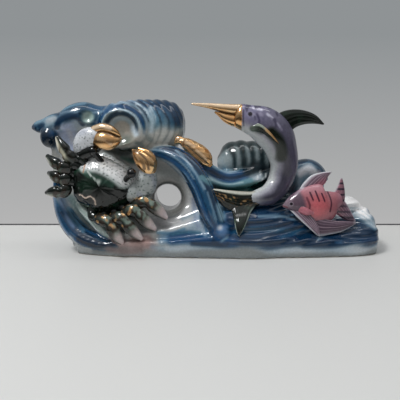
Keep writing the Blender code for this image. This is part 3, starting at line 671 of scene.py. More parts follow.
def evaluated_mesh(obj: Object) -> Mesh:
    """The mesh of an object with its modifiers applied. The object is removed."""
    graph = bpy.context.evaluated_depsgraph_get()
    mesh = bpy.data.meshes.new_from_object(obj.evaluated_get(graph))
    bpy.data.objects.remove(obj, do_unlink=True)
    return mesh


def carved(skin: Skin, *cutters: Skin) -> Mesh:
    """The mesh of a surface with the cutters taken out of it."""
    obj = linked("blank", mesh_of("blank", skin))
    tools = [linked("cutter", mesh_of("cutter", cutter)) for cutter in cutters]
    for tool in tools:
        modifier = obj.modifiers.new("cut", "BOOLEAN")
        modifier.operation = "DIFFERENCE"
        modifier.object = tool
    mesh = evaluated_mesh(obj)
    for tool in tools:
        bpy.data.objects.remove(tool, do_unlink=True)
    return mesh


def fused(meshes: Sequence[Mesh], voxel_mm: float, passes: int) -> Mesh:
    """Closed meshes that overlap, made one skin by a voxel remesh, with soft fillets as of thick glaze.

    Args:
        meshes: the closed meshes.
        voxel_mm: the grain of the new surface.
        passes: how often it is smoothed, each pass moving a vertex half way to the mean of its neighbours.

    Returns:
        The fused mesh.
    """
    parts = [linked(f"part_{i}", mesh) for i, mesh in enumerate(meshes)]
    whole = bpy.data.meshes.new("whole")
    points, faces = [], []
    for part in parts:
        first = len(points)
        points.extend(tuple(v.co) for v in part.data.vertices)
        faces.extend(tuple(first + i for i in face.vertices) for face in part.data.polygons)
        bpy.data.objects.remove(part, do_unlink=True)
    whole.from_pydata(points, [], faces)
    obj = linked("whole", whole)
    remesh = obj.modifiers.new("voxels", "REMESH")
    remesh.mode = "VOXEL"
    remesh.voxel_size = voxel_mm * MM
    smooth = obj.modifiers.new("soften", "SMOOTH")
    smooth.factor = 0.5
    smooth.iterations = passes
    return evaluated_mesh(obj)


def read_points(mesh: Mesh) -> tuple[Array, Array]:
    """The vertices of a mesh in millimetres, and their normals."""
    points = np.empty(len(mesh.vertices) * 3)
    mesh.vertices.foreach_get("co", points)
    normals = np.empty(len(mesh.vertices) * 3, np.float32)
    mesh.vertex_normals.foreach_get("vector", normals)
    return points.reshape(-1, 3) / MM, normals.reshape(-1, 3).astype(float)


# Water


@dataclass
class Waves:
    """The body of water: sea, bowl with its round hole, crest, two ribbed barrels, ridges and back waves."""

    sea_left: float = -74.5
    sea_right: float = 101.3
    sea_front: float = 30
    sea_back: float = 28
    rim_height: float = 6.5
    foot_rounding: float = 1.2
    end_rounding: float = 4.5
    terraces: int = 3
    terrace_depth: float = 1.4
    bowl_centre: tuple[float, float] = (-44, 36)
    bowl_face: float = -7
    bowl_back: float = 14
    bowl_lip: float = 11
    hole_centre: tuple[float, float] = (-20.6, 29.6)
    hole_radius: float = 7.6
    flare_radius: float = 10.25
    flare_depth: float = 5
    barrel_radius: float = 15
    barrel_ribs: int = 9
    barrel_bow: float = 0.8
    back_barrel_radius: float = 12.5
    back_barrel_ribs: int = 6
    back_barrel_bow: float = 0.25
    rib_depth: float = 0.9
    strand_depth: float = 1
    strands: int = 9
    vent_centre: tuple[float, float] = (40, 4)
    vent_radius: float = 4
    wall: float = 4
    streak_spacing: float = 3.6
    foot_flat: float = 0.35
    voxel_mm: float = 0.78
    sea_rows: Rows = (
        (0, -0.48, 0.22, -3, 7, 1.6), (0.02, -0.6, 0.32, -3, 11, 1.7), (0.06, -0.7, 0.5, -3, 14, 1.8),
        (0.16, -0.85, 0.72, -2, 20, 1.9), (0.29, -0.9, 0.9, 0, 24, 2), (0.4, -0.94, 1, 3, 36, 1.9),
        (0.45, -0.96, 1, 5, 43, 1.9), (0.5, -0.98, 1, 6, 43, 1.9), (0.57, -1, 1, 8, 41, 1.9),
        (0.65, -0.94, 1, 7, 38, 1.6), (0.74, -0.91, 0.96, 5, 32, 1.2), (0.83, -0.87, 0.9, 3, 26, 1.2),
        (0.9, -0.82, 0.8, 2, 21.5, 1.4), (0.95, -0.72, 0.66, 1, 23, 2.2), (0.982, -0.56, 0.46, 0, 21, 2.4),
        (1, -0.28, 0.18, -2, 11, 2),
    )
    bowl_rim: Rows = (
        (-73, -15, 1), (-78.5, -11, 12), (-84, -8, 28), (-86.5, -6, 44), (-87.5, -5, 57), (-84.5, -4, 68),
        (-76, -5, 74), (-64, -6, 77), (-50, -7, 77), (-34, -6, 76), (-20, -6, 67), (-13, -9, 57),
        (-5.5, -14, 48), (0.5, -17, 39), (4, -19, 28), (6.5, -20, 16), (6, -22, 2), (-22, -22, 1),
        (-52, -18, 1),
    )
    crest_rows: Rows = (
        (-98.6, 0, 69.4, 1, 1), (-96, 0, 69.8, 3, 3), (-91, -1, 70.3, 4.3, 4.6), (-85, -2, 71.4, 5.9, 7),
        (-79, -2.5, 72.6, 6.2, 8), (-73.5, -3, 74.6, 7.8, 9.5), (-67.5, -3, 75.6, 8.4, 9.5),
        (-60.5, -2.5, 74.4, 7.6, 9), (-52, -2.5, 73.4, 8.8, 9.4), (-44, -2.5, 72, 9.4, 9.8),
    )
    barrel_path: Rows = (
        (-56.5, -12, 70.2, 0.4, 0.33), (-53.5, -11, 70.4, 0.71, 0.63), (-47.5, -8.5, 70.5, 0.89, 0.83),
        (-40, -5, 70.6, 0.97, 0.95), (-30.5, -1, 70.6, 1, 1), (-21, 0.5, 70.6, 0.97, 0.97),
        (-16.6, 1, 70.6, 0.88, 0.88), (-13.4, 1.3, 70.6, 0.71, 0.71), (-11.4, 1.5, 70.6, 0.47, 0.47),
        (-10.4, 1.5, 70.6, 0.21, 0.21),
    )
    back_barrel_path: Rows = (
        (9, 10, 49, 0.3, 0.35), (11.5, 10, 49, 0.72, 0.75), (17, 11, 49.2, 0.96, 0.95),
        (28, 12, 49.2, 1, 1), (38, 12, 48.5, 0.94, 0.94), (45, 12, 47, 0.7, 0.75), (49, 12, 46, 0.34, 0.35),
    )
    right_ridge_rows: Rows = (
        (-36, -6, 55.6, 1.5, 3), (-31, -8, 56.4, 3, 4.5), (-22, -11, 56, 4.6, 6.5),
        (-15.3, -13, 53.4, 5.6, 8), (-7.5, -16, 47.3, 6.2, 9), (-2, -19, 38.9, 6.3, 9),
        (1.6, -21.5, 30, 6.2, 8), (5, -23.5, 22.1, 5.8, 7), (8.4, -24, 15.5, 4.2, 5.5),
    )
    left_ridge_rows: Rows = (
        (-84.5, -6.5, 40, 1.2, 2.5), (-82.6, -8.5, 28, 3.2, 4.5), (-79, -10.5, 20, 4.6, 6),
        (-73.5, -13.5, 13, 5.2, 6.5), (-66.5, -17, 8.6, 5.2, 6), (-58, -19.5, 6.4, 4.4, 5.5),
        (-48, -22, 5.2, 2.6, 4.5),
    )
    inner_ridge_rows: Rows = (
        (-70.5, -10, 29.5, 1.4, 3), (-68, -12, 25.5, 2.8, 5), (-62.5, -14.5, 20.2, 3.4, 6),
        (-56, -17, 14.4, 3.4, 5.5), (-48, -20, 9.5, 2, 4),
    )
    trough_rows: Rows = (
        (-2.5, -6, 50.5, 2.6, 4), (3.7, -4, 45.4, 3.6, 5), (10.7, -3, 41.8, 3.8, 5),
        (20.1, -1, 41.8, 3.6, 5), (29, 2, 44.5, 3, 4.4), (37, 4, 49, 2, 3.4),
    )
    lower_trough_rows: Rows = (
        (-2.5, -10, 44.5, 2.4, 4), (3.7, -9, 40.6, 3, 5), (12.8, -8, 37.4, 3, 5), (22.6, -6, 37.8, 3, 5),
        (31, -4, 40.5, 2.6, 4.4), (39, -2, 44, 1.8, 3.4),
    )
    hook_rows: Rows = (
        (46, 5, 22, 8, 8), (52, 8, 36, 7.5, 8), (58, 11, 43.4, 6.6, 8.5), (64.6, 12, 44.4, 6, 8.5),
        (70, 12, 41.8, 4.6, 7), (74, 11, 38, 2.2, 4),
    )
    end_curl_rows: Rows = (
        (74, 1, 19.5, 5, 7), (81, 3, 23.5, 5.2, 7), (87.5, 4, 24.4, 4.4, 6.5), (92.4, 4, 22.8, 2.6, 5)
    )
    barrel_rows: Rows = field(init=False)
    back_barrel_rows: Rows = field(init=False)

    def __post_init__(self) -> None:
        """Works out the rows of both barrels from their radii."""
        self.barrel_rows = self.scaled(self.barrel_path, self.barrel_radius)
        self.back_barrel_rows = self.scaled(self.back_barrel_path, self.back_barrel_radius)

    @staticmethod
    def scaled(rows: Rows, radius: float) -> Rows:
        """Rows whose half sizes are shares of a radius, in millimetres."""
        return tuple((x, y, z, a * radius, b * radius) for x, y, z, a, b in rows)

    def sea_section(
        self, front: float, back: float, crest_y: float, crest_z: float, fullness: float
    ) -> Array:
        """The sea's cross section in Y and Z.

        The front climbs as y = front + (crest - front)·rise^fullness with sine terraces on it, and the back
        falls as a 1.7th power with a slighter ripple.
        """
        rim = min(self.rim_height, 0.45 * crest_z)
        foot = self.foot_rounding
        calm = min(1, crest_z / self.sea_front)
        rise = np.linspace(0, 1, 60)[1:-1]
        swell = self.terrace_depth * np.sin(TAU * self.terraces * rise) * calm
        front_y = front + (crest_y - front) * rise**fullness - 0.7 * swell
        front_z = rim + (crest_z - rim) * rise + 0.7 * swell
        fall = np.linspace(1, 0, 30)[:-1]
        back_y = back + (crest_y - back) * fall**1.7 + 0.6 * self.terrace_depth * np.cos(
            5 * math.pi * fall
        ) * calm
        back_z = rim + (crest_z - rim) * fall
        turn = np.linspace(0, math.pi / 2, 5)
        inward, up = foot * (1 - np.sin(turn)), foot * (1 - np.cos(turn))
        low_front, low_back = np.stack([front + inward, up], 1), np.stack([back - inward, up], 1)[::-1]
        climb, descent = np.stack([front_y, front_z], 1), np.stack([back_y, back_z], 1)
        return np.vstack([low_front, [(front, rim)], climb, descent, [(back, rim)], low_back])

    def sea(self) -> Skin:
        """The low body, skinned over sections that stand along its length. Its foot draws in at both ends."""
        length = self.sea_right - self.sea_left
        rows = [(u * length, 0, 0, *rest) for u, *rest in self.sea_rows]
        rings = []
        for u, _, _, front, back, crest_y, crest_z, fullness in smooth_rows(rows, 150):
            section = self.sea_section(
                front * self.sea_front, back * self.sea_back, crest_y, crest_z, fullness
            )
            ring = np.column_stack([np.full(len(section), self.sea_left + u), section])
            near_end = max(0, 1 - min(u, length - u) / (0.6 * self.rim_height))
            low = np.clip(1 - ring[:, 2] / self.rim_height, 0, 1)
            ring[:, 0] += np.sign(length / 2 - u) * self.end_rounding * near_end * low**1.5
            rings.append(ring)
        stack = np.array(rings)
        return skinned(stack, np.linspace(0, TAU, stack.shape[1], endpoint=False))

    def bowl(self) -> Skin:
        """The tall wave at the left: a dish on edge, y = face + (rim - face)·share³ from its middle out."""
        rim = smooth_rows(self.bowl_rim, 160, closed=True)
        middle = np.array(self.bowl_centre)
        shares = np.concatenate([np.linspace(0.08, 0.9, 14), [0.94, 0.97, 0.99, 1]])
        rings = []
        for plane, lip, way in ((self.bowl_face, 0, shares), (self.bowl_back, self.bowl_lip, shares[::-1])):
            for share in way:
                ring = np.empty((160, 3))
                tuck = 1 - 0.02 * step(0.97, 1, np.array(share))
                ring[:, (0, 2)] = middle + (rim[:, (0, 2)] - middle) * share * tuck
                ring[:, 1] = plane + (rim[:, 1] + lip - plane) * share**3
                rings.append(ring)
        return skinned(np.array(rings), np.linspace(0, TAU, 160, endpoint=False))

    def hole(self) -> Skin:
        """The cutter of the round hole, flared towards the viewer and eased at the back."""
        lip = self.bowl_face - 2
        profile = (
            (lip - 20, self.flare_radius + 1), (lip, self.flare_radius),
            (lip + 0.5 * self.flare_depth, self.hole_radius + 0.9),
            (lip + self.flare_depth, self.hole_radius), (self.bowl_back - 3, self.hole_radius),
            (self.bowl_back + 1, self.hole_radius + 1.2), (self.bowl_back + 20, self.hole_radius + 1.4),
        )
        x, z = self.hole_centre
        angle = np.linspace(0, TAU, 64, endpoint=False)
        rings = [
            np.stack([x + r * np.cos(angle), np.full(64, y), z + r * np.sin(angle)], 1) for y, r in profile
        ]
        return skinned(np.array(rings), angle)

    def vent(self) -> Skin:
        """The cutter of the vent in the foot, which widens above the wall into the hollow."""
        x, y = self.vent_centre
        angle = np.linspace(0, TAU, 48, endpoint=False)
        heights = (
            (-2, self.vent_radius), (self.wall, self.vent_radius), (self.wall + 1, 2.6 * self.vent_radius),
            (self.wall + 10, 3 * self.vent_radius), (self.wall + 16, 2 * self.vent_radius),
        )
        rings = [
            np.stack([x + r * np.cos(angle), y + r * np.sin(angle), np.full(48, z)], 1) for z, r in heights
        ]
        return skinned(np.array(rings), angle)

    @staticmethod
    def rib_phase(share: Array, angle: Array, ribs: int, bow: float) -> Array:
        """The rib that a point of a barrel lies on. Whole numbers are grooves.

        A rib that crosses the top at the share u reaches s = u + k·u·(1 - u) round the side, with
        k = bow·sin². So u = 2s / (1 + k + sqrt((1 + k)² - 4ks)).

        Args:
            share: the share of the barrel's length.
            angle: the angle round it, 0 at the top.
            ribs: how many ribs it has.
            bow: how far they bow.

        Returns:
            The phase, from 0 to ribs + 1.
        """
        k = bow * np.sin(angle) ** 2
        top = 2 * share / (1 + k + np.sqrt(np.maximum((1 + k) ** 2 - 4 * k * share, 0)))
        return (ribs + 1) * top

    def rib_grooves(self, share: Array, angle: Array, ribs: int, bow: float) -> Array:
        """How deep in a groove a point lies, from 0 to 1: 1 - |sin| of the rib phase, fading at both ends."""
        phase = self.rib_phase(share, angle, ribs, bow)
        ends = step(0.3, 0.9, phase) * step(ribs + 0.7, ribs + 0.1, phase)
        return (1 - np.abs(np.sin(math.pi * phase))) * ends

    def barrel_relief(self, share: Array, angle: Array) -> Array:
        """Grooves between the large barrel's ribs."""
        return -self.rib_depth * self.rib_grooves(share, angle, self.barrel_ribs, self.barrel_bow)

    def back_barrel_relief(self, share: Array, angle: Array) -> Array:
        """The same grooves on the small barrel."""
        return -self.rib_depth * self.rib_grooves(share, angle, self.back_barrel_ribs, self.back_barrel_bow)

    def strand_phase(self, angle: Array) -> Array:
        """The strand that a point of a ridge lies on. Whole numbers are their tops."""
        return self.strands * angle / TAU

    def strand_relief(self, share: Array, angle: Array) -> Array:
        """Grooves between the strands of a ridge: minus depth·(1 - |cos|) of the strand phase."""
        phase = self.strand_phase(angle)
        return -self.strand_depth * (1 - np.abs(np.cos(math.pi * phase))) * step(0, 0.2, share)

    def forms(self) -> list[Mesh]:
        """All forms of the water as closed meshes that overlap."""
        sea = carved(self.sea(), self.hole(), self.vent())
        bowl = carved(self.bowl(), self.hole())
        rest = [
            swept(self.crest_rows, 70, 48, cap=0), ball((-87.1, -4.5, 64.4), (5.2, 6.5, 6.2)),
            swept(self.barrel_rows, 170, 96, self.barrel_relief, cap=0),
            swept(self.back_barrel_rows, 120, 80, self.back_barrel_relief, cap=0.2),
            swept(self.right_ridge_rows, 90, 108, self.strand_relief),
            ball((9.6, -24, 13.9), (6.2, 6, 6.2)), swept(self.left_ridge_rows, 70, 90, self.strand_relief),
            swept(self.inner_ridge_rows, 50, 40), swept(self.trough_rows, 50, 40),
            swept(self.lower_trough_rows, 50, 40), swept(self.hook_rows, 60, 48),
            ball((60.5, 9, 34.5), (12.5, 6.5, 9)), swept(self.end_curl_rows, 40, 40),
        ]
        return [sea, bowl, *(mesh_of("form", skin) for skin in rest)]

    @staticmethod
    def flow(x: Array, z: Array) -> Array:
        """The height above the flow lines, which wave along the length and dip towards the right end."""
        return z + 2.2 * np.sin(x / 17) - 0.1 * np.maximum(x - 40, 0)

    def model(self, points: Array, normals: Array) -> Array:
        """Works the fused skin by hand, as a modeller does: scoops, and the flowing grooves of the front.

        A scoop presses each point that lies inside an egg shape onto its far wall, y = cy + ry·sqrt(1 - r²).
        The grooves move points along their normals by a sine of the height above the flow lines.
        """
        scoops = (
            ((-45.5, -20.5, 69), (10.5, 9, 10.5)), ((-64, -13.5, 76), (4.4, 4, 4)),
            ((-71, -13.5, 65), (10, 6, 10)),
        )
        for centre, radii in scoops:
            gap = (points - centre) / radii
            flat = 1 - gap[:, 0] ** 2 - gap[:, 2] ** 2
            wall = np.sqrt(np.clip(flat, 0, 1))
            inside = (flat > 0) & (np.abs(gap[:, 1]) < wall)
            points[inside, 1] = centre[1] + radii[1] * wall[inside]
        x, _, z = points.T
        front = step(0.1, -0.4, normals[:, 1])
        reach = front * step(6.5, 9, z) * step(34, 29, z) * step(10, 16, x) * step(97, 88, x)
        height = 0.45 * np.sin(TAU * self.flow(x, z) / self.streak_spacing) * reach
        back = step(0.1, 0.5, normals[:, 1]) * step(7, 10, z)
        height += 0.5 * np.sin(TAU * (z + 5 * np.sin(x / 21) + 0.06 * x) / 6.5) * back
        return points + normals * height[:, None]

    def build(self, material: Material) -> Object:
        """The fused, worked and painted water."""
        mesh = fused(self.forms(), self.voxel_mm, 5)
        points, normals = read_points(mesh)
        points = within_frame(self.model(points, normals))
        foot = points[:, 2] < self.foot_flat
        points[foot, 2] = np.where(normals[foot, 2] < -0.5, 0, points[foot, 2])
        mesh.vertices.foreach_set("co", (points * MM).ravel())
        mesh.update()
        points, normals = read_points(mesh)
        put_coat(mesh, WaterPaint(self, Coat(points, "#C6CDD2", normals[:, 1]), normals).painted())
        return place_piece("breaking_waves", mesh, material)


@dataclass
class WaterPaint:
    """The decorator's work on the water: sprayed blues that leave hollows and rim bare."""

    waves: Waves
    coat: Coat
    normals: Array

    def painted(self) -> Coat:
        """All layers, broad ones first."""
        self.broad()
        self.sea_streaks()
        self.bowl_face()
        self.ridges()
        self.barrels()
        self.crest()
        self.trough()
        self.back_side()
        self.foot()
        return self.coat

    def broad(self) -> None:
        """The pale mist over the whole water, deeper in some clouds."""
        cloud = ripple_noise(self.coat.points, 26, 11)
        self.coat.lay(POTS.pale, 0.5 + 0.3 * cloud)

    def sea_streaks(self) -> None:
        """The low sea: navy, blue and pale teal streaks that follow the flow."""
        coat = self.coat
        x, _, z = coat.points.T
        ragged = z + 1.2 * ripple_noise(coat.points, 18, 5)
        zone = step(4.4, 8.5, ragged) * step(38, 30, z) * step(2, 12, x) * coat.reach(Side.FRONT)
        coat.lay("#0B2A4A", 0.95 * zone)
        wander = 1.5 * ripple_noise(coat.points * (0.3, 1, 1), 8, 3)
        spacing = self.waves.streak_spacing
        streak = np.sin(TAU * (self.waves.flow(x, z) + wander) / spacing)
        coat.lay("#1A486C", 0.45 * step(0.2, 0.95, streak) * zone)
        coat.lay("#5E8196", 0.22 * step(0.8, 1, streak) * zone)
        deep = step(0, 0.9, np.sin(TAU * (self.waves.flow(x, z) + wander + 2) / (2 * spacing)))
        coat.lay(POTS.deep, 0.75 * deep * zone)
        front = Side.FRONT
        coat.strokes(
            front, (POTS.deep, ((15.4, 24.5), (29.6, 25), (44.3, 24.5), (50, 22)), 3.2, 0.85, 0.8),
            (POTS.deep, ((22, 28), (34, 28.6), (46, 26)), 2.4, 0.8, 0.8),
            (POTS.deep, ((17.2, 29), (30.8, 30), (44, 27.5)), 3.4, 0.7, 0.8),
            (POTS.teal, ((10, 32), (20, 27), (34, 26.9)), 1.3, 0.8, 0.8),
            (POTS.pale, ((30, 22), (44, 21), (56, 17.5)), 1.1, 0.7, 0.9),
            ("#2E5C76", ((13.1, 14.4), (31.3, 15.6), (45, 14), (60, 12.2)), 2.6, 0.6, 0.9),
            (POTS.deep, ((13.1, 17.8), (31.4, 18.9), (51.9, 17.8)), 1.6, 0.85, 0.8),
            (POTS.deep, ((-5, 9.5), (14.1, 9.8), (46.4, 9.6), (58, 10.4)), 2.6, 0.9, 0.8),
            (POTS.pale, ((50, 20.4), (60, 16.4), (68, 13.8)), 1, 0.7, 0.9),
        )
        self.sea_end()

    def sea_end(self) -> None:
        """The right end: a navy mass with a white curl above it, a pale stroke at its corner and a thin
        painted highlight below the curl.
        """
        coat, front = self.coat, Side.FRONT
        coat.stroke(
            POTS.deep, ((94.5, 16.5), (86.4, 13.8), (78.2, 11.4), (67.3, 9.3), (55, 9.4)), 5.4, 0.95, 0.6
        )
        coat.stroke(POTS.blue, ((90, 10.6), (80, 8.6), (72, 8.4)), 1.3, 0.6, 0.8, front)
        coat.strokes(
            Side.BOTH, (POTS.mist, ((79, 20.4), (84, 20.6), (90, 20), (96, 16)), 4.2, 0.95, 0.8),
            ("#F4F3F3", ((74, 23.8), (79.5, 24), (84.5, 25.4), (88, 25.8), (92.5, 23.4)), 6.4, 1, 0.5),
        )
        coat.stroke(POTS.deep, ((77, 8.2), (86, 10), (93, 13)), 2.6, 0.8, 0.8, front)
        coat.stroke(POTS.white, ((97.4, 20), (99, 13), (98, 7)), 2.2, 0.7, 0.9)
        coat.combed(POTS.teal, ((80, 20), (88, 20.6), (95, 16)), 4, 2.2, 0.3)
        # This thin white line along the sea is a painted highlight.
        coat.stroke(POTS.white, ((62, 9.6), (70, 11.6), (80, 14.2)), 0.9, 0.5, 0.9, front)

    def bowl_face(self) -> None:
        """The hollow face of the tall wave: bare grey-white porcelain with a breath of lilac and green, and
        painted shade under the barrel, round the hole and under the crab's legs.
        """
        coat, front = self.coat, Side.FRONT
        x, y, z = coat.points.T
        face = step(44, 38, np.hypot(x + 44, (z - 38) * 1.05)) * coat.reach(front) * step(2, -2, y)
        coat.lay("#C6C7C4", 0.95 * face)
        coat.lay("#9C9B98", 0.5 * face * coat.patches(14, 15, -0.2, 0.9))
        coat.strokes(
            front, ("#BCC8E2", ((-78.8, 71), (-76.9, 66.1), (-74.9, 59.4)), 8.5, 0.95, 0.7),
            ("#D2D5DE", ((-75.6, 67.6), (-74, 62)), 2.6, 0.8, 0.9),
            ("#CFCDC8", ((-88, 57.2), (-84, 52.8), (-83, 44)), 5, 0.9, 0.8),
            # The dark green-grey and near-black strokes here are painted shade under the barrel.
            ("#4A5A52", ((-46.7, 60.7), (-38.3, 58.5), (-30, 57.4)), 4.8, 0.9, 0.8),
            ("#1C2422", ((-52, 59), (-46, 57), (-40, 53.5)), 6, 0.9, 0.8),
            ("#3C6C60", ((-46, 53), (-40, 50.6)), 2, 0.6, 0.9),
            ("#8D9596", ((-27, 47), (-20, 44.5), (-13, 42)), 6, 0.5, 0.8),
        )
        # The greys round the hole, in its flare and inside its tunnel are painted shade in the recess.
        around_hole = np.hypot(x + 20.6, z - 30.6)
        coat.lay("#8F8F8C", 0.8 * step(12.8, 10, around_hole) * coat.reach(front))
        coat.lay("#6A6C6A", 0.85 * step(9.2, 7.9, around_hole))
        coat.lay("#3F4442", 0.8 * step(8.6, 7.9, around_hole) * step(-2, 2, y))
        coat.strokes(
            front, ("#E4E7E8", ((-11, 42), (-7.8, 35), (-7.6, 28), (-9.6, 21)), 3.6, 0.5, 0.9),
            ("#C9C9CC", ((-27, 18), (-15.7, 17.5), (-8.4, 20.4)), 4.6, 0.7, 0.9),
            ("#8C9CB8", ((-5.6, 30), (-5, 23), (-3, 17)), 2.2, 0.7, 0.9),
            ("#8FA3B0", ((-12, 19.6), (-6, 22)), 1.6, 0.7, 0.9),
            ("#5D88A2", ((-25, 13.4), (-16.9, 13.2), (-10.6, 15.6)), 1.6, 0.8, 0.9),
            ("#3C6485", ((-22, 10.4), (-12, 11.4), (0.7, 10)), 5, 0.7, 0.9),
            (POTS.navy, ((-17, 10.2), (-9, 11.2), (0.7, 10), (16, 8.8)), 4.4, 0.95, 0.8),
            (POTS.deep, ((-6, 8.4), (3, 8.2), (12, 8.4)), 2.2, 0.8, 0.8),
            (POTS.teal, ((-17, 12.6), (-9, 13.8), (-2, 13.6)), 1.2, 0.85, 0.9),
            ("#A0827E", ((-50, 7.2), (-40.5, 5.4), (-29.6, 6.4)), 6.5, 0.8, 0.8),
            ("#B9968F", ((-38, 9), (-31, 10)), 4, 0.6, 0.8),
            ("#7B93A5", ((-27.5, 6), (-22.5, 5)), 3, 0.6, 0.9),
        )
        # This dark grey-green stroke on the wave's left rim is the painted shadow of the crab's left legs.
        coat.stroke("#2C3733", ((-88, 45), (-84, 39), (-80, 35.5)), 3.6, 0.85, 0.7)
        self.inner_face()

    def inner_face(self) -> None:
        """The pale green and teal streaks that run down inside the left edge of the hollow."""
        coat, front = self.coat, Side.FRONT
        coat.strokes(
            front, ("#6F8A8A", ((-76, 29), (-70, 22), (-64, 16)), 4.6, 0.85, 0.8),
            ("#9DB2AD", ((-69.3, 27.2), (-64.9, 22.8), (-60.1, 18.3), (-53.7, 11.5)), 3, 0.9, 0.7),
        )
        coat.combed("#D2DBD8", ((-71, 26), (-65, 19.8), (-58, 13)), 4.8, 2.4, 0.75)
        coat.strokes(
            front, ("#48605A", ((-63.4, 25.6), (-58, 20.6), (-53, 15)), 1.8, 0.8, 0.8),
            ("#7F8E9C", ((-79.6, 31.4), (-77, 26.6)), 2.4, 0.7, 0.9),
        )

    def on_form(self, rows: Rows) -> tuple[Array, Array, Array]:
        """The share along and angle round a swept form of every point, and how much it lies on that form."""
        share, angle, reach = around(self.coat.points, rows)
        return share, angle, step(1.35, 1.05, reach)

    def band(self, rows: Rows, layers: Sequence[tuple[str, float]], crest: str, fade: float) -> None:
        """Paints a roped ridge: each strand in its own blue, with a pale line along the top of each.

        Args:
            rows: the ridge's own rows.
            layers: a colour and a strength for each strand in turn.
            crest: the colour of the pale lines.
            fade: how strong they are.
        """
        _, angle, on_it = self.on_form(rows)
        phase = self.waves.strand_phase(angle)
        strand = np.floor(phase + 0.5).astype(int) % len(layers)
        for number, (colour, strength) in enumerate(layers):
            self.coat.lay(colour, strength * on_it * (strand == number))
        groove = 1 - np.abs(np.cos(math.pi * phase))
        self.coat.lay(POTS.ink, 0.45 * on_it * step(0.45, 0.95, groove))
        uneven = step(-0.5, 0.6, ripple_noise(self.coat.points, 11, 18))
        self.coat.lay(crest, fade * on_it * uneven * step(0.12, 0, groove))

    def ridges(self) -> None:
        """The roped ridges and the curl where the right one ends."""
        coat, waves, front = self.coat, self.waves, Side.FRONT
        blues = ((POTS.navy, 0.95), ("#184668", 0.95), (POTS.deep, 0.95))
        self.band(waves.right_ridge_rows, blues, POTS.pale, 0.5)
        self.band(waves.left_ridge_rows, blues, POTS.teal, 0.35)
        right = [(x - 1.6, z + 1.4) for x, _, z, _, _ in waves.right_ridge_rows[1:6]]
        coat.strokes(
            front, (POTS.mist, right, 0.8, 0.6, 0.8),
            (POTS.blue, ((-82.4, 27), (-77.5, 19), (-70, 11.4), (-62.3, 7.4)), 1.5, 0.9, 0.8),
            ("#7F8FA4", ((-84.6, 30), (-82.6, 21.5), (-78, 13.5), (-72, 8)), 1.9, 0.85, 0.8),
            ("#9FA3A3", ((-84, 34), (-80, 28.4), (-77, 25)), 2.6, 0.85, 0.8),
            (POTS.ink, ((-68, 9.6), (-60, 6.4), (-51, 5.2)), 3.4, 0.9, 0.7),
            ("#6A86AC", ((-80.6, 29), (-77.6, 22.6), (-72.6, 15.4)), 2.2, 0.7, 0.9),
            ("#5F86A0", ((-77, 24.6), (-72.4, 18.4), (-66.4, 13)), 1, 0.75, 0.8),
            (POTS.deep, ((-80.4, 24), (-75, 16), (-67, 10.2), (-58, 7.4)), 1.3, 0.8, 0.8),
            ("#C9D3D8", ((-27.8, 53), (-20.3, 51.4), (-14.4, 47.3), (-9.8, 40.6)), 1.6, 0.7, 0.8),
            (POTS.pale, ((-15, 57.7), (-9.6, 52.8), (-4.4, 46.2), (0.6, 38)), 0.9, 0.8, 0.8),
            (POTS.pale, ((2, 36), (4.6, 28), (6.6, 22)), 0.9, 0.6, 0.8),
            (POTS.navy, ((9.5, 14.5),), 7.8, 0.95, 0.5),
            (POTS.deep, ((3.4, 13.4), (5.4, 10), (9, 7.8)), 1.6, 0.85, 0.8),
            # The small white-lilac spot on the curl is a painted highlight.
            ("#5F82AC", ((10.1, 15.6),), 4.6, 0.9, 0.8), ("#E3E6F2", ((8.6, 17.4),), 2.4, 0.95, 0.9),
            (POTS.pale, ((12.6, 12.2), (9.6, 10.2)), 1.2, 0.7, 0.9),
            ("#9FB2C4", ((-4, 24), (-2.6, 19.6), (-1, 15.6), (0.8, 12.8)), 1.5, 0.7, 0.9),
            # This blue is laid paler than the water's own blue, as painted light against the shade of the
            # marlin's tail.
            ("#9CC0D2", ((8.4, 29), (9.2, 25), (10, 22)), 3, 0.85, 0.9),
            (POTS.blue, ((0.4, 18), (1.6, 14.4), (4.2, 11.4)), 1, 0.85, 0.8),
        )

    def barrels(self) -> None:
        """The two barrels: blue over the top, navy in the grooves, bare below, and painted highlights."""
        coat, waves = self.coat, self.waves
        share, angle, on_it = self.on_form(waves.barrel_rows)
        rise = np.cos(angle)
        coat.lay("#C4C5C0", 0.95 * on_it)
        coat.lay("#6F7F80", 0.6 * on_it * coat.patches(9, 16, 0, 0.9))
        coat.lay(POTS.teal, 0.9 * on_it * step(-0.3, 0.35, rise + 0.12 * ripple_noise(coat.points, 8, 17)))
        coat.lay("#0F3558", 0.92 * on_it * step(0.25, 0.9, rise))
        groove = waves.rib_grooves(share, angle, waves.barrel_ribs, waves.barrel_bow)
        top = step(-0.3, 0.4, rise)
        coat.lay(POTS.ink, 0.85 * on_it * top * step(0.25, 0.95, groove))
        coat.lay("#7C8686", 0.45 * on_it * (1 - top) * step(0.25, 0.95, groove))
        # The pale lines along the rib tops, strongest on the upper left, and the fainter blue lines on the
        # right ribs are painted highlights.
        phase = waves.rib_phase(share, angle, waves.barrel_ribs, waves.barrel_bow)
        bright = step(0.1, 0.28, phase % 1) * step(0.55, 0.35, phase % 1)
        uneven = coat.patches(7, 19, -0.7, 0.5)
        coat.lay("#C6D6E0", 0.9 * on_it * bright * uneven * step(0, 0.5, rise) * step(0.75, 0.55, share))
        coat.lay("#3E6B8C", 0.5 * on_it * bright * step(0.6, 0.7, share) * top)
        coat.lay(POTS.deep, 0.6 * on_it * top * step(0.62, 0.85, share))
        coat.lay("#5F7482", 0.6 * on_it * step(0.9, 0.97, share) * step(0.6, 0, rise))
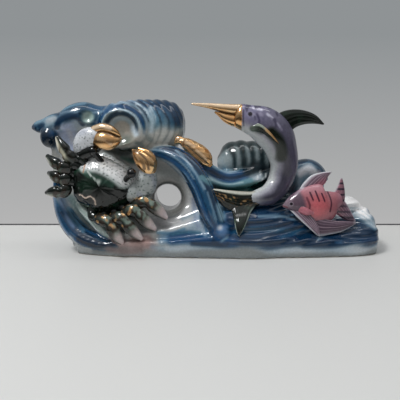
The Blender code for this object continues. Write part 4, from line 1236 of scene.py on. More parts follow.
        # This pale stroke on the top left of the barrel is a painted highlight.
        coat.stroke("#A6B4C6", ((-50, 82), (-44, 84), (-38, 84.6)), 2.2, 0.7, 0.9)
        coat.stroke(POTS.ink, ((-42, 81), (-36.6, 79), (-33, 73)), 2.8, 0.75, 0.9, Side.FRONT)
        coat.stroke(POTS.deep, ((-26, 84.5), (-20, 83), (-15, 79), (-13, 73)), 5, 0.75, 0.8)
        # These pale strokes on the arcs are painted highlights.
        coat.strokes(
            Side.FRONT, ("#B4C8D4", ((-29, 80), (-27.4, 74), (-28.4, 68)), 2.4, 0.7, 0.9),
            ("#B4C2D2", ((-54, 81.6), (-50.4, 79.6), (-47.6, 81.4)), 1.8, 0.6, 0.9),
        )
        self.mouth()
        self.small_barrel()

    def mouth(self) -> None:
        """The open end of the large barrel: a thin pale rim, a navy ring, a pale ring, a grey hollow and
        painted shade below it.
        """
        coat = self.coat
        x, y, z = coat.points.T
        mouth = np.hypot((x + 44.8) / 10.8, (z - 68.5) / 10.8)
        bearing = np.degrees(np.arctan2(z - 68.5, x + 44.8))
        front = coat.reach(Side.FRONT) * step(-3, -6, y)
        upper = step(-20, 20, bearing) * step(190, 150, bearing)
        coat.lay("#B3AFA6", 0.95 * front * step(0.98, 0.8, mouth))
        coat.lay("#66726A", 0.8 * front * step(0.95, 0.6, mouth) * step(-10, -70, bearing))
        coat.lay("#D2CFC6", 0.8 * front * step(0.55, 0.2, mouth))
        coat.lay("#A4BCC9", 0.85 * front * upper * step(0.4, 0.52, mouth) * step(0.74, 0.64, mouth))
        coat.strokes(
            Side.FRONT, ("#D8E8F4", ((-38.6, 69.6), (-36.6, 66.4)), 3, 0.9, 0.8),
            # The near-black stroke below the mouth is painted shade under the barrel.
            ("#1C2422", ((-55, 58.6), (-46, 56.2), (-38, 56.8)), 3.4, 0.85, 0.9),
        )
        coat.lay(POTS.deep, 0.85 * front * upper * step(0.66, 0.76, mouth) * step(0.94, 0.86, mouth))
        coat.lay("#BACDD6", 0.9 * front * upper * step(0.92, 0.98, mouth) * step(1.08, 1.01, mouth))
        coat.lay(POTS.navy, 0.9 * front * upper * step(1.06, 1.12, mouth) * step(1.3, 1.2, mouth))
        coat.lay("#9FB4C2", 0.6 * front * upper * step(1.28, 1.34, mouth) * step(1.46, 1.4, mouth))

    def small_barrel(self) -> None:
        """The barrel behind the marlin: dark green-blue bands round a paler roll, with a painted highlight on
        its left end.
        """
        coat, waves = self.coat, self.waves
        share, angle, on_it = self.on_form(waves.back_barrel_rows)
        rise = np.cos(angle)
        groove = waves.rib_grooves(share, angle, waves.back_barrel_ribs, waves.back_barrel_bow)
        coat.lay("#4E6064", 0.95 * on_it)
        # The paler left end is a painted highlight.
        coat.lay("#93A6AC", 0.8 * on_it * step(0.3, 0.05, share) * step(0.95, 0.4, rise))
        coat.lay("#16262B", 0.85 * on_it * step(0.1, 0.8, groove))
        coat.lay("#1C282A", 0.9 * on_it * step(0.25, 0.85, rise))
        coat.lay(
            "#A8B4B8", 0.6 * on_it * step(0.3, 0.02, groove) * step(0.95, 0.6, rise) * step(-0.3, 0, rise)
        )
        coat.lay("#27536E", 0.7 * on_it * step(-0.1, -0.6, rise))

    def crest(self) -> None:
        """The rolled edge at the top left."""
        coat, front = self.coat, Side.FRONT
        edge = (
            (-98, 68.8), (-92.1, 71.6), (-86.3, 73.4), (-80.6, 75.6), (-74.9, 77.4), (-69.2, 79.8),
            (-60, 79.4),
        )
        coat.stroke("#1D3F58", edge, 6.2, 0.95, 0.6)
        coat.combed("#8CA3B0", edge, 5, 2.6, 0.3)
        coat.combed(POTS.deep, edge, 6, 3.4, 0.6, Side.BOTH)
        coat.strokes(
            Side.BOTH, ("#7B9AAC", ((-95.6, 72.4), (-89.5, 74.2), (-84.5, 75.4)), 2.4, 0.85, 0.9),
            ("#6A8CA2", ((-79.4, 79.4), (-73, 81.6), (-66, 83)), 1.6, 0.75, 0.9),
        )
        coat.strokes(
            front, ("#8FA6B4", ((-88, 71.4), (-84.6, 72.4)), 3.4, 0.9, 0.8),
            ("#A2AAB0", ((-86.5, 73.6), (-82.6, 74.6)), 2.8, 0.85, 0.8),
        )
        coat.strokes(
            Side.BOTH, (POTS.deep, ((-97, 68.6),), 3.4, 0.9, 0.7),
            (POTS.deep, ((-92.4, 70.2), (-89.6, 71)), 2, 0.8, 0.8),
            (POTS.ink, ((-87.6, 63.4),), 7.6, 0.95, 0.5),
        )
        coat.strokes(
            front, (POTS.navy, ((-84, 66.4),), 3.4, 0.8, 0.9),
            ("#86A0B4", ((-82.6, 70.6), (-80, 68)), 1.8, 0.7, 0.9),
        )
        brow = ((-81.5, 69.6), (-79.4, 73.4), (-74.6, 75.4), (-69.8, 75.4), (-67, 72))
        coat.strokes(
            front, (POTS.deep, brow, 2.3, 0.95, 0.6),
            ("#8B9DAE", ((-79, 77.4), (-73.8, 78.6), (-69.4, 78.4)), 1.3, 0.6, 0.9),
            ("#31546C", ((-63.4, 75.4),), 6.4, 0.8, 0.5), ("#A7BDB6", ((-63.6, 75.2),), 4.6, 0.95, 0.5),
            ("#C4D2CC", ((-63.4, 73.2),), 2, 0.7, 0.9),
        )
        coat.stroke("#31577A", ((-62, 81), (-56, 80), (-50, 81)), 2.4, 0.8, 0.8)
        coat.stroke(POTS.pale, ((-60, 78), (-55, 78.4)), 1.2, 0.6, 0.9, front)

    def trough(self) -> None:
        """The arcs of water under the small barrel, and what shows between the marlin and the angelfish, with
        painted glints there.
        """
        coat, front = self.coat, Side.FRONT
        zone = step(4, 9, coat.points[:, 0]) * step(44, 38, coat.points[:, 0])
        green = zone * step(31, 34, coat.points[:, 2]) * step(41, 38, coat.points[:, 2])
        coat.lay("#24504A", 0.85 * green * coat.reach(front))
        coat.strokes(
            front, ("#5F8A96", ((-1.3, 44), (4.9, 40.2), (12.4, 37.9), (26.7, 40)), 2.2, 0.9, 0.7),
            ("#A9C2C8", ((1, 43.4), (6, 40.4), (13, 38.6), (22, 39.2)), 0.8, 0.8, 0.8),
            (POTS.navy, ((1.2, 48.2), (6.7, 44.1), (14.2, 41.4), (24, 43.4)), 3.2, 0.95, 0.5),
            (POTS.deep, ((4, 45.4), (9.4, 42.4), (16, 41.2), (26, 43.6)), 1.5, 0.85, 0.7),
            ("#6F92A8", ((3, 49.4), (8, 46.4), (14, 45)), 1.1, 0.7, 0.8),
            ("#16262E", ((26, 45), (33, 47), (37, 43)), 4.6, 0.85, 0.7),
        )
        # These white dots are painted glints.
        for x, z in ((30.4, 41.6), (32.6, 43.8), (33.4, 40.4), (35.2, 42.6)):
            coat.stroke("#E3EAEC", ((x, z - 0.8), (x + 0.3, z + 0.8)), 0.75, 0.9, 0.7, front)
        coat.stroke("#1B3440", ((50.9, 44.6), (50, 33.9), (46.1, 29.2)), 7, 0.9, 0.7, front)
        hook = ((50, 40), (55.4, 48), (63.2, 50.2), (69.1, 47), (74, 39.5))
        coat.stroke("#17324A", hook, 4.4, 0.95, 0.6)
        coat.combed("#57788C", hook, 4.6, 2.2, 0.6, Side.BOTH)
        coat.stroke(POTS.ink, ((51, 44), (55, 49.4), (61, 51)), 2.2, 0.85, 0.8)
        coat.strokes(
            front, ("#E6EAF0", ((57, 43.4), (62.5, 45.6), (67, 41)), 3.8, 0.95, 0.8),
            ("#5C7F94", ((60, 38), (68, 36)), 5, 0.8, 0.8),
            ("#A79AA6", ((68.6, 43.4), (71, 40)), 2.2, 0.8, 0.9),
        )

    def back_side(self) -> None:
        """The far side: broad blue bands between pale ones, which follow the moulded flow."""
        coat = self.coat
        x, _, z = coat.points.T
        back = step(0.1, 0.5, coat.facing) * step(5, 9, z)
        wander = ripple_noise(coat.points, 34, 8)
        flow = np.sin(TAU * (z + 6 * np.sin(x / 24) + 0.06 * x) / 15 + 2.2 * wander)
        uneven = coat.patches(20, 25, -0.8, 0.6)
        coat.lay(POTS.blue, 0.5 * back * step(-0.6, 1, flow) * uneven)
        coat.lay(POTS.deep, 0.45 * back * step(0.4, 1, flow) * step(-0.4, 0.5, wander))
        coat.lay(POTS.white, 0.4 * back * step(-0.2, -1, flow))

    def foot(self) -> None:
        """The rim at the foot, laid grey as painted shade and paler at the left corner as painted light, and
        the unglazed ring that was wiped bare before firing, darkened as a painted contact shadow.
        """
        coat = self.coat
        x, _, z = coat.points.T
        edge = 4 + 1.3 * ripple_noise(coat.points * (1, 1, 0), 24, 21) - 2 * step(20, 60, x)
        # The grey band round the rim near the foot is painted shade.
        coat.lay("#828889", 0.95 * step(2.4, -0.8, z - edge) * step(-0.9, -0.2, self.normals[:, 2]))
        # This paler stroke at the left corner is painted light, where the lamp falls.
        coat.stroke("#B9BDBD", ((-74, 9), (-70, 4.4), (-63, 3)), 2.6, 0.8, 0.8)
        coat.stroke("#8A706C", ((-52, 4.6), (-42, 3.6), (-34, 4.4)), 3.4, 0.6, 0.9, Side.FRONT)
        # The dark band at the very bottom is the unglazed ring's colour, darkened as a painted contact
        # shadow.
        coat.lay("#4C443C", 0.85 * step(0.8, 0.3, z))
        coat.lay("#CFC5B6", 0.9 * step(0.25, 0.05, z) * step(-0.2, -0.8, self.normals[:, 2]))


# Marlin


@dataclass
class Marlin:
    """The leaping marlin: a crescent body with a gilt bill, a dorsal fin, pectoral fins and a forked tail."""

    fin_thickness: float = 2.4
    dorsal_thickness: float = 3.2
    fluke_thickness: float = 3.4
    gold_to_x: float = 20.4
    body_rows: Rows = (
        (19.3, -13, 76.2, 6.6, 5.2), (24.2, -13, 74.6, 7.6, 6.2), (32.6, -12, 71.4, 9.8, 7.4),
        (39.2, -11, 65.9, 10.2, 7.6), (43.6, -9, 57.3, 8.8, 6.8), (45.6, -7, 48.4, 7.8, 6.2),
        (43.9, -6.5, 40.1, 7.2, 6), (41, -8, 35.4, 6.6, 5.6), (36.6, -10.5, 32.2, 6, 5),
        (31.6, -13, 31.2, 5, 4.2), (26.5, -15.5, 30.9, 3.6, 3),
    )
    bill_rows: Rows = (
        (22, -13, 79.2, 3.3, 3.6), (17.6, -13, 79.4, 3, 3), (10, -13, 80.3, 2.3, 2.2),
        (2.3, -13, 81.5, 1.4, 1.4), (-6.6, -13, 82.5, 0.5, 0.6),
    )
    jaw_rows: Rows = (
        (22, -13, 73.8, 3.9, 3.6), (17.1, -13, 73.6, 3.4, 3.2), (12.2, -13, 75, 2.5, 2.5),
        (8.6, -13, 77, 1.3, 1.4), (6, -13, 78.2, 0.5, 0.6),
    )

    def gilt(self, points: Array) -> Array:
        """How much gold a point takes: all of it in front of a soft edge across the head."""
        return step(self.gold_to_x + 0.15, self.gold_to_x - 0.15, points[:, 0])

    def body(self, material: Material) -> Object:
        """The body, mauve over the back and white along the belly, with eye, gill line, gilt snout, a painted
        shadow under the pectoral fin and painted highlights.
        """
        skin = swept(self.body_rows, 150, 96)
        coat = Coat(skin.points, "#5B586C")
        out = np.cos(skin.angle) + 0.06 * ripple_noise(skin.points, 7, 2)
        coat.lay("#827E9C", 0.8 * step(0.34, 0.05, skin.share))
        coat.lay("#3E3C48", 0.75 * step(0.3, 0.55, skin.share) * step(0.7, 0.1, out) * step(-0.4, 0, out))
        coat.lay("#B7AFC4", 0.45 * coat.patches(5, 12, 0.2, 0.9) * step(0.35, 0.1, skin.share))
        coat.lay(
            "#2A2A36", 0.35 * step(0.1, -0.1, out) * step(-0.4, -0.2, out) * step(0.25, 0.4, skin.share)
        )
        coat.lay("#8E8C9A", 0.8 * step(0.05, -0.45, out))
        coat.lay("#C9CDCE", step(-0.3, -0.85, out))
        coat.strokes(
            # The dark green stroke below the pectoral fin is the fin's painted shadow.
            Side.BOTH, ("#10190F", ((36.4, 67), (40.4, 62.8), (42.4, 58), (42.6, 54)), 4.4, 0.95, 0.7),
            ("#243028", ((26, 69.4), (31, 67.6)), 2.2, 0.7, 0.8),
            # The pale lavender strokes on the head are painted highlights.
            ("#D8D6E8", ((26.6, 80.2), (31, 79.2)), 1.2, 0.85, 0.8),
            ("#D8D6E8", ((34, 77), (36.6, 74.8)), 1.1, 0.8, 0.8),
            ("#B9B5CC", ((39.6, 72), (42, 68.6)), 1, 0.6, 0.9),
        )
        dark = step(
            0.25, 0.8, ripple_noise(skin.points, 5.5, 27)
        ) * step(0.36, 0.22, skin.share) * step(-0.1, 0.3, out)
        coat.lay("#332F46", 0.75 * dark)
        coat.strokes(
            Side.BOTH, ("#9A96AE", ((24.8, 77),), 2.2, 0.8, 0.5),
            ("#17141E", ((24.8, 77),), 1.45, 0.95, 0.4),
            ("#3B3550", ((28.4, 77), (29.6, 73), (28.6, 70)), 0.9, 0.7, 0.7),
            ("#2B2A3A", ((21.2, 79), (21, 75), (21.4, 71)), 0.7, 0.6, 0.7),
            # The pale stroke along the lower curve is a painted highlight.
            ("#B9B9C6", ((38, 38.6), (34, 34.8), (29, 33.4)), 1.4, 0.6, 0.9),
        )
        coat.lay("#C9CED0", 0.7 * step(0.86, 0.97, skin.share))
        coat.gild(self.gilt(skin.points))
        return dress("marlin_body", skin, coat, material)

    def bill(self, material: Material) -> Object:
        """The spear and the lower jaw, gilt as far as the head, with painted shade where they meet and a
        painted highlight along the spear's top.
        """
        skin = swept(self.bill_rows, 60, 32, cap=0).joined(swept(self.jaw_rows, 50, 32, cap=0))
        coat = Coat(skin.points, "#2A1A12")
        coat.gild(self.gilt(skin.points))
        # Less lustre along the join of spear and jaw is painted shade; the cream line along the spear's top
        # is a painted highlight.
        coat.shade_crease(((5, 79.4), (9, 78.4), (14, 77.4), (21, 76.9)), 1, 0.85)
        coat.thin(((-7, 82.8), (2.3, 82.2), (10, 81.6), (17, 81.2), (20, 81.2)), 2.4, 0.95)
        return dress("marlin_bill", skin, coat, material)

    def fins(self, material: Material) -> Object:
        """Dorsal and pectoral fins, dark green with a pale gilt leading edge on the pectoral ones."""
        dorsal = blade(
            (
                (35, -12, 73.5), (44, -12, 78.8), (50, -12, 79.6), (56, -12, 78.8), (61.5, -12, 76.4),
                (66, -12, 72),
            ),
            (
                (42, -12, 60), (46.5, -12, 65.6), (50, -12, 69.4), (55, -12, 71.4), (60.5, -12, 71.8),
                (65.8, -12, 71.2),
            ),
            self.dorsal_thickness, 5, rings=60,
        )
        pectoral = (
            (
                (24.5, -17.5, 71.6), (29.5, -19.4, 72), (34, -20.6, 68.9), (37.5, -20.6, 65.2),
                (40.3, -19.8, 61.6),
            ),
            ((26, -17.2, 67.8), (30, -18.8, 67.4), (34, -19.8, 65.2), (37, -20, 63), (40, -19.6, 61.2)),
        )
        near = blade(*pectoral, self.fin_thickness, 4, rings=50)
        head = np.array(self.body_rows[:4])
        middle = 2 * np.interp(near.points[:, 0], head[:, 0], head[:, 1])
        mirrored = near.points * (1, -1, 1) + np.stack([0 * middle, middle, 0 * middle], axis=1)
        far = Skin(mirrored, near.quads[:, ::-1], near.fans[:, ::-1], near.share, near.angle)
        skin = merged([dorsal, near, far])
        coat = Coat(skin.points, "#0C140D")
        coat.lay("#1E3226", 0.6 * coat.patches(7, 4, 0.2, 0.9))
        pectoral = np.arange(len(skin.points)) >= len(dorsal.points)
        edge = np.cos(skin.angle)
        coat.lay("#A9B2A4", 0.85 * pectoral * step(0.2, 0.7, edge))
        coat.lay("#7E8A80", 0.7 * pectoral * step(0.4, 0, skin.share))
        coat.gild(0.95 * pectoral * step(0.1, 0.5, edge) * step(0.4, 0.55, skin.share))
        coat.lay("#3B4650", 0.7 * ~pectoral * step(0.22, 0, skin.share))
        return dress("marlin_fins", skin, coat, material)

    def tail(self, material: Material) -> Object:
        """The forked tail: green-black webs with gilt streaks and a cream edge."""
        upper = blade(
            (
                (32.6, -13.5, 35.2), (25.6, -16.5, 34.9), (19.9, -18.5, 35.4), (13.2, -20, 36.2),
                (7.2, -21, 37), (2.3, -21.8, 37.3),
            ),
            (
                (32.6, -14.5, 27.5), (25.7, -17.5, 24.7), (18.9, -19.4, 23.4), (13.3, -20.6, 25.6),
                (7.8, -21.4, 29.9), (2.6, -22, 36.2),
            ),
            self.fluke_thickness, 6, rings=60,
        )
        lower = blade(
            (
                (32.7, -14, 28.6), (28.4, -18, 26.7), (25.6, -21.8, 24), (23.6, -25.8, 20.6),
                (21.3, -28.5, 16.4), (18.8, -29.3, 12.5),
            ),
            (
                (19, -16.4, 32.4), (15.1, -19.5, 26.6), (15.7, -22.6, 23.3), (16.3, -26.4, 20.2),
                (17, -28.6, 16.4), (18.3, -29.3, 12.8),
            ),
            self.fluke_thickness, 6, rings=60,
        )
        skin = upper.joined(lower)
        coat = Coat(skin.points, "#0D150E")
        edge = np.cos(skin.angle)
        place = (edge + 1) / 2
        first = np.arange(len(skin.points)) < len(upper.points)
        wave = 0.25 * ripple_noise(skin.points, 7, 6) + 0.05 * np.sin(18 * skin.share)
        streak = step(0.55, 0.9, np.cos(TAU * 5 * (place + wave * 0.4)))
        near_top = np.where(first, step(0.1, 0.5, place) * step(0.8, 0.7, place), step(0.3, 0, skin.share))
        coat.lay("#5B4026", 0.8 * streak * near_top)
        coat.gild(0.8 * streak * near_top * coat.patches(4, 7, 0, 0.6))
        coat.lay("#2B4636", 0.5 * coat.patches(8, 14, 0.2, 0.8))
        coat.lay("#D9D9CC", 0.95 * first * step(0.8, 0.9, place))
        coat.lay("#6E6A5A", 0.6 * first * step(0.97, 1, place))
        coat.lay("#A9B8B2", 0.85 * ~first * step(0.1, 0.03, place) * step(0.6, 0.8, skin.share))
        coat.lay("#A9B8B2", 0.85 * ~first * step(0.92, 0.98, place) * step(0.15, 0.35, skin.share))
        coat.lay("#C4C9BC", 0.8 * step(0.95, 1, skin.share))
        return dress("marlin_tail", skin, coat, material)

    def build(self, material: Material) -> list[Object]:
        """All pieces of the marlin."""
        return [self.body(material), self.bill(material), self.fins(material), self.tail(material)]


# Angelfish


@dataclass
class Angelfish:
    """The pink angelfish at the right, with a mauve head and striped mauve fins."""

    half: float = 6
    fin_thickness: float = 2.4

    def body(self, material: Material) -> Object:
        """The deep flat body, with eye, mouth, gill line and four slanted dashes."""
        half = self.half
        rows = (
            (44.2, -18, 27, 1, 0.2 * half), (47.6, -17.5, 27.8, 4, 0.5 * half),
            (52.9, -16.5, 28.2, 7.8, 0.78 * half), (58, -16, 27.8, 10.8, 0.95 * half),
            (63.1, -15.5, 27.2, 12, half), (68.2, -15, 27.4, 9.8, 0.85 * half),
            (72.2, -14.5, 29.2, 6, 0.55 * half), (76, -14, 30.6, 3.6, 0.35 * half),
        )
        skin = swept(rows, 120, 110)
        coat = Coat(skin.points, "#A5656E")
        x, _, z = skin.points.T
        coat.lay("#D2686F", 0.85 * step(9, 2, np.hypot(x - 63, (z - 27) * 0.8)))
        coat.lay("#C08C98", 0.7 * step(32, 38, z))
        coat.lay("#A98490", 0.6 * step(23, 17, z))
        coat.lay("#5C4C5A", 0.95 * step(57, 54, x + 0.18 * (z - 27) ** 2 / 4))
        coat.lay("#43384A", 0.7 * step(3.2, 1.2, np.hypot(x - 53.4, (z - 24.6) * 0.7)))
        coat.lay("#93838F", 0.7 * step(49.5, 45.5, x))
        coat.strokes(
            Side.BOTH, ("#B7A6B4", ((48, 31), (52, 35), (56, 38)), 0.9, 0.7, 0.8),
            ("#6E3A46", ((56.2, 32), (57.8, 27.4), (55.8, 22.4)), 0.8, 0.9, 0.6),
            ("#3A2028", ((54.6, 25.4), (56.6, 23.6), (58.4, 22.2)), 0.9, 0.9, 0.6),
        )
        for dash in (
            ((57.9, 34.9), (59.5, 30.9)), ((60.9, 35.5), (62.8, 30.5)), ((64.3, 34.4), (66, 30.2)),
            ((68.6, 34.6), (70.1, 29), (69.4, 24.3)),
        ):
            coat.stroke("#4A2233", dash, 0.62, 0.95, 0.5)
        coat.strokes(
            Side.BOTH, ("#4A2233", ((55.6, 22.8), (58, 22.4)), 0.5, 0.8, 0.5),
            ("#A596A4", ((47.9, 28.6),), 1.5, 0.9, 0.4), ("#140E16", ((47.9, 28.6),), 1.05, 0.95, 0.4),
            ("#7D3B44", ((44, 27.2), (46, 26.6)), 0.5, 0.8, 0.5),
        )
        coat.lay("#9A6D7D", 0.7 * step(72.5, 76, x))
        return dress("angelfish_body", skin, coat, material)

    def fins(self, material: Material) -> Object:
        """Dorsal, pelvic, belly, tail and side fins with rays pressed into them, and a white edge below."""
        thin = self.fin_thickness
        edges = {
            "dorsal": (
                (
                    (51.2, -15.5, 32.5), (55.2, -15.5, 39.6), (59.6, -15.5, 43.8), (64.6, -15.5, 45.4),
                    (70.4, -15.5, 45.8),
                ),
                (
                    (62.2, -15.5, 35.6), (64.9, -15.5, 37.3), (67.3, -15.5, 39.5), (68.4, -15.5, 42.6),
                    (70.2, -15.5, 45.2),
                ),
                6,
            ),
            "pelvic": (
                (
                    (46.4, -18.2, 26), (52, -20.2, 20.5), (57, -21.4, 16), (60.5, -22.2, 13),
                    (63.4, -22.6, 10.8),
                ),
                (
                    (52, -18, 28.2), (57.3, -19.6, 24), (61, -21, 19.8), (63.1, -22, 15.5),
                    (63.9, -22.6, 11.4),
                ),
                5,
            ),
            "belly": (
                (
                    (57.8, -19, 16), (63.2, -20.5, 10.7), (69.9, -20, 11.4), (76.8, -18.8, 12.8),
                    (84.9, -17, 16.9),
                ),
                ((57, -18, 23), (65.4, -19, 20.4), (71.5, -19, 19), (78.3, -18.3, 18.6), (84.9, -17, 17.9)),
                6,
            ),
            "upper_tail": (
                ((70.2, -14, 31.6), (73.6, -14, 35.4), (75, -14, 38.7), (76, -14, 42.1)),
                ((78, -14, 25), (78.9, -14, 30.3), (78.4, -14, 36.5), (77, -14, 42)), 5,
            ),
            "lower_tail": (
                ((74, -14, 34.4), (79.1, -14, 29), (82.2, -14.5, 24), (85.2, -15, 18.2)),
                ((71, -14, 25), (76, -14.2, 20.6), (80.6, -14.7, 18), (84.9, -15, 17.2)), 6,
            ),
            "side": (
                ((51.5, -19.4, 27.4), (56, -22.4, 26.8), (60, -22.6, 24.4)),
                ((52.4, -19.8, 23.6), (56, -22.2, 22.6), (59.8, -22.6, 23.2)), 4,
            ),
        }
        skins = []
        for name, (leading, trailing, rays) in edges.items():
            skins.append(blade(leading, trailing, thin * (0.7 if name == "side" else 1), rays))
        skin = merged(skins)
        label = np.repeat(list(edges), [len(fin.points) for fin in skins])
        edge = np.cos(skin.angle)
        coat = Coat(skin.points, "#8A7684")
        ray = 0.5 - 0.5 * np.cos(TAU * 6 * (edge + 1) / 2)
        tail = (label == "upper_tail") | (label == "lower_tail")
        side = label == "side"
        coat.lay("#4A3A48", 0.85 * (label == "belly"))
        coat.lay("#5E4A58", 0.6 * tail)
        coat.lay("#4C3B4A", 0.8 * step(0.5, 0.95, ray))
        coat.lay("#B9A2AE", 0.7 * step(0.35, 0.05, ray))
        coat.lay("#B4586A", 0.7 * (label == "dorsal") * step(0.4, -0.8, edge) * step(0.9, 0.3, skin.share))
        bars = step(0.1, 0.8, np.sin(TAU * skin.points[:, 2] / 3.2))
        coat.lay("#2B2230", 0.75 * tail * bars)
        coat.lay("#C07480", 0.5 * tail * (1 - bars) * step(82, 74, skin.points[:, 0]))
        coat.lay("#DADDE2", 0.9 * ~(tail | side) * step(0.66, 0.88, edge))
        coat.lay("#DADDE2", 0.7 * step(0.9, 1, skin.share))
        coat.lay("#C76A76", 0.7 * side)
        coat.lay("#D0C6D0", 0.7 * tail * step(0.75, 0.97, edge))
        return dress("angelfish_fins", skin, coat, material)

    def build(self, material: Material) -> list[Object]:
        """Both pieces of the angelfish."""
        return [self.body(material), self.fins(material)]


# Gilt fish


@dataclass
class GiltFish:
    """The small fish on top of the right ridge, gilt all over."""

    body_rows: Rows = (
        (-14.2, -12, 63.8, 0.8, 0.8), (-12.2, -12, 62.6, 2, 2), (-9.6, -12, 61, 3.2, 3),
        (-6, -12, 58.4, 4.2, 4), (-2, -12.5, 55.2, 4.9, 4.4), (1.2, -13, 52.2, 4.2, 4),
        (3.9, -13, 49, 1.4, 1.8),
    )
    tail_rows: Rows = ((-11.8, -12, 63, 1.8, 1.6), (-13.8, -12, 62.6, 2.4, 1.4), (-15.6, -12, 61.4, 1, 0.8))

    def build(self, material: Material) -> list[Object]:
        """The gilt fish, with a long groove along its side, scales in low relief, painted shade in its
        creases and painted highlights along its back.
        """

        def relief(share: Array, angle: Array) -> Array:
            groove = -0.7 * step(0.45, 0, np.abs(angle - 1.5 * math.pi + 0.35)) * step(0.15, 0.35, share)
            scales = 0.12 * np.sin(TAU * 7 * share) * np.sin(8 * angle)
            return groove + scales

        skin = swept(self.body_rows, 80, 72, relief).joined(swept(self.tail_rows, 30, 32))
        coat = Coat(skin.points, "#5A3416")
        coat.gild(np.ones(len(skin.points)))
        # Less lustre down the side groove and along the creases is painted shade; the cream lines are painted
        # highlights.
        dark = step(0.6, 0.1, np.abs(skin.angle - 1.5 * math.pi + 0.35)) * step(0.2, 0.4, skin.share)
        coat.lustre = coat.lustre * (1 - 0.2 * dark * step(0.85, 0.75, skin.share))
        coat.shade_crease(((-11.6, 60.6), (-7, 57), (-2.4, 53), (1, 50.4)), 0.7, 0.6)
        coat.shade_crease(((-10.2, 63.4), (-11, 61.6), (-11.2, 60)), 0.7, 0.7)
        coat.thin(((-14.6, 64), (-9.4, 61.8), (-5.4, 59.6)), 2, 0.85)
        coat.thin(((-4, 57.6), (-0.4, 54.6), (1.4, 52.6)), 1.7, 0.85)
        return [dress("gilt_fish", skin, coat, material)]


# Crab


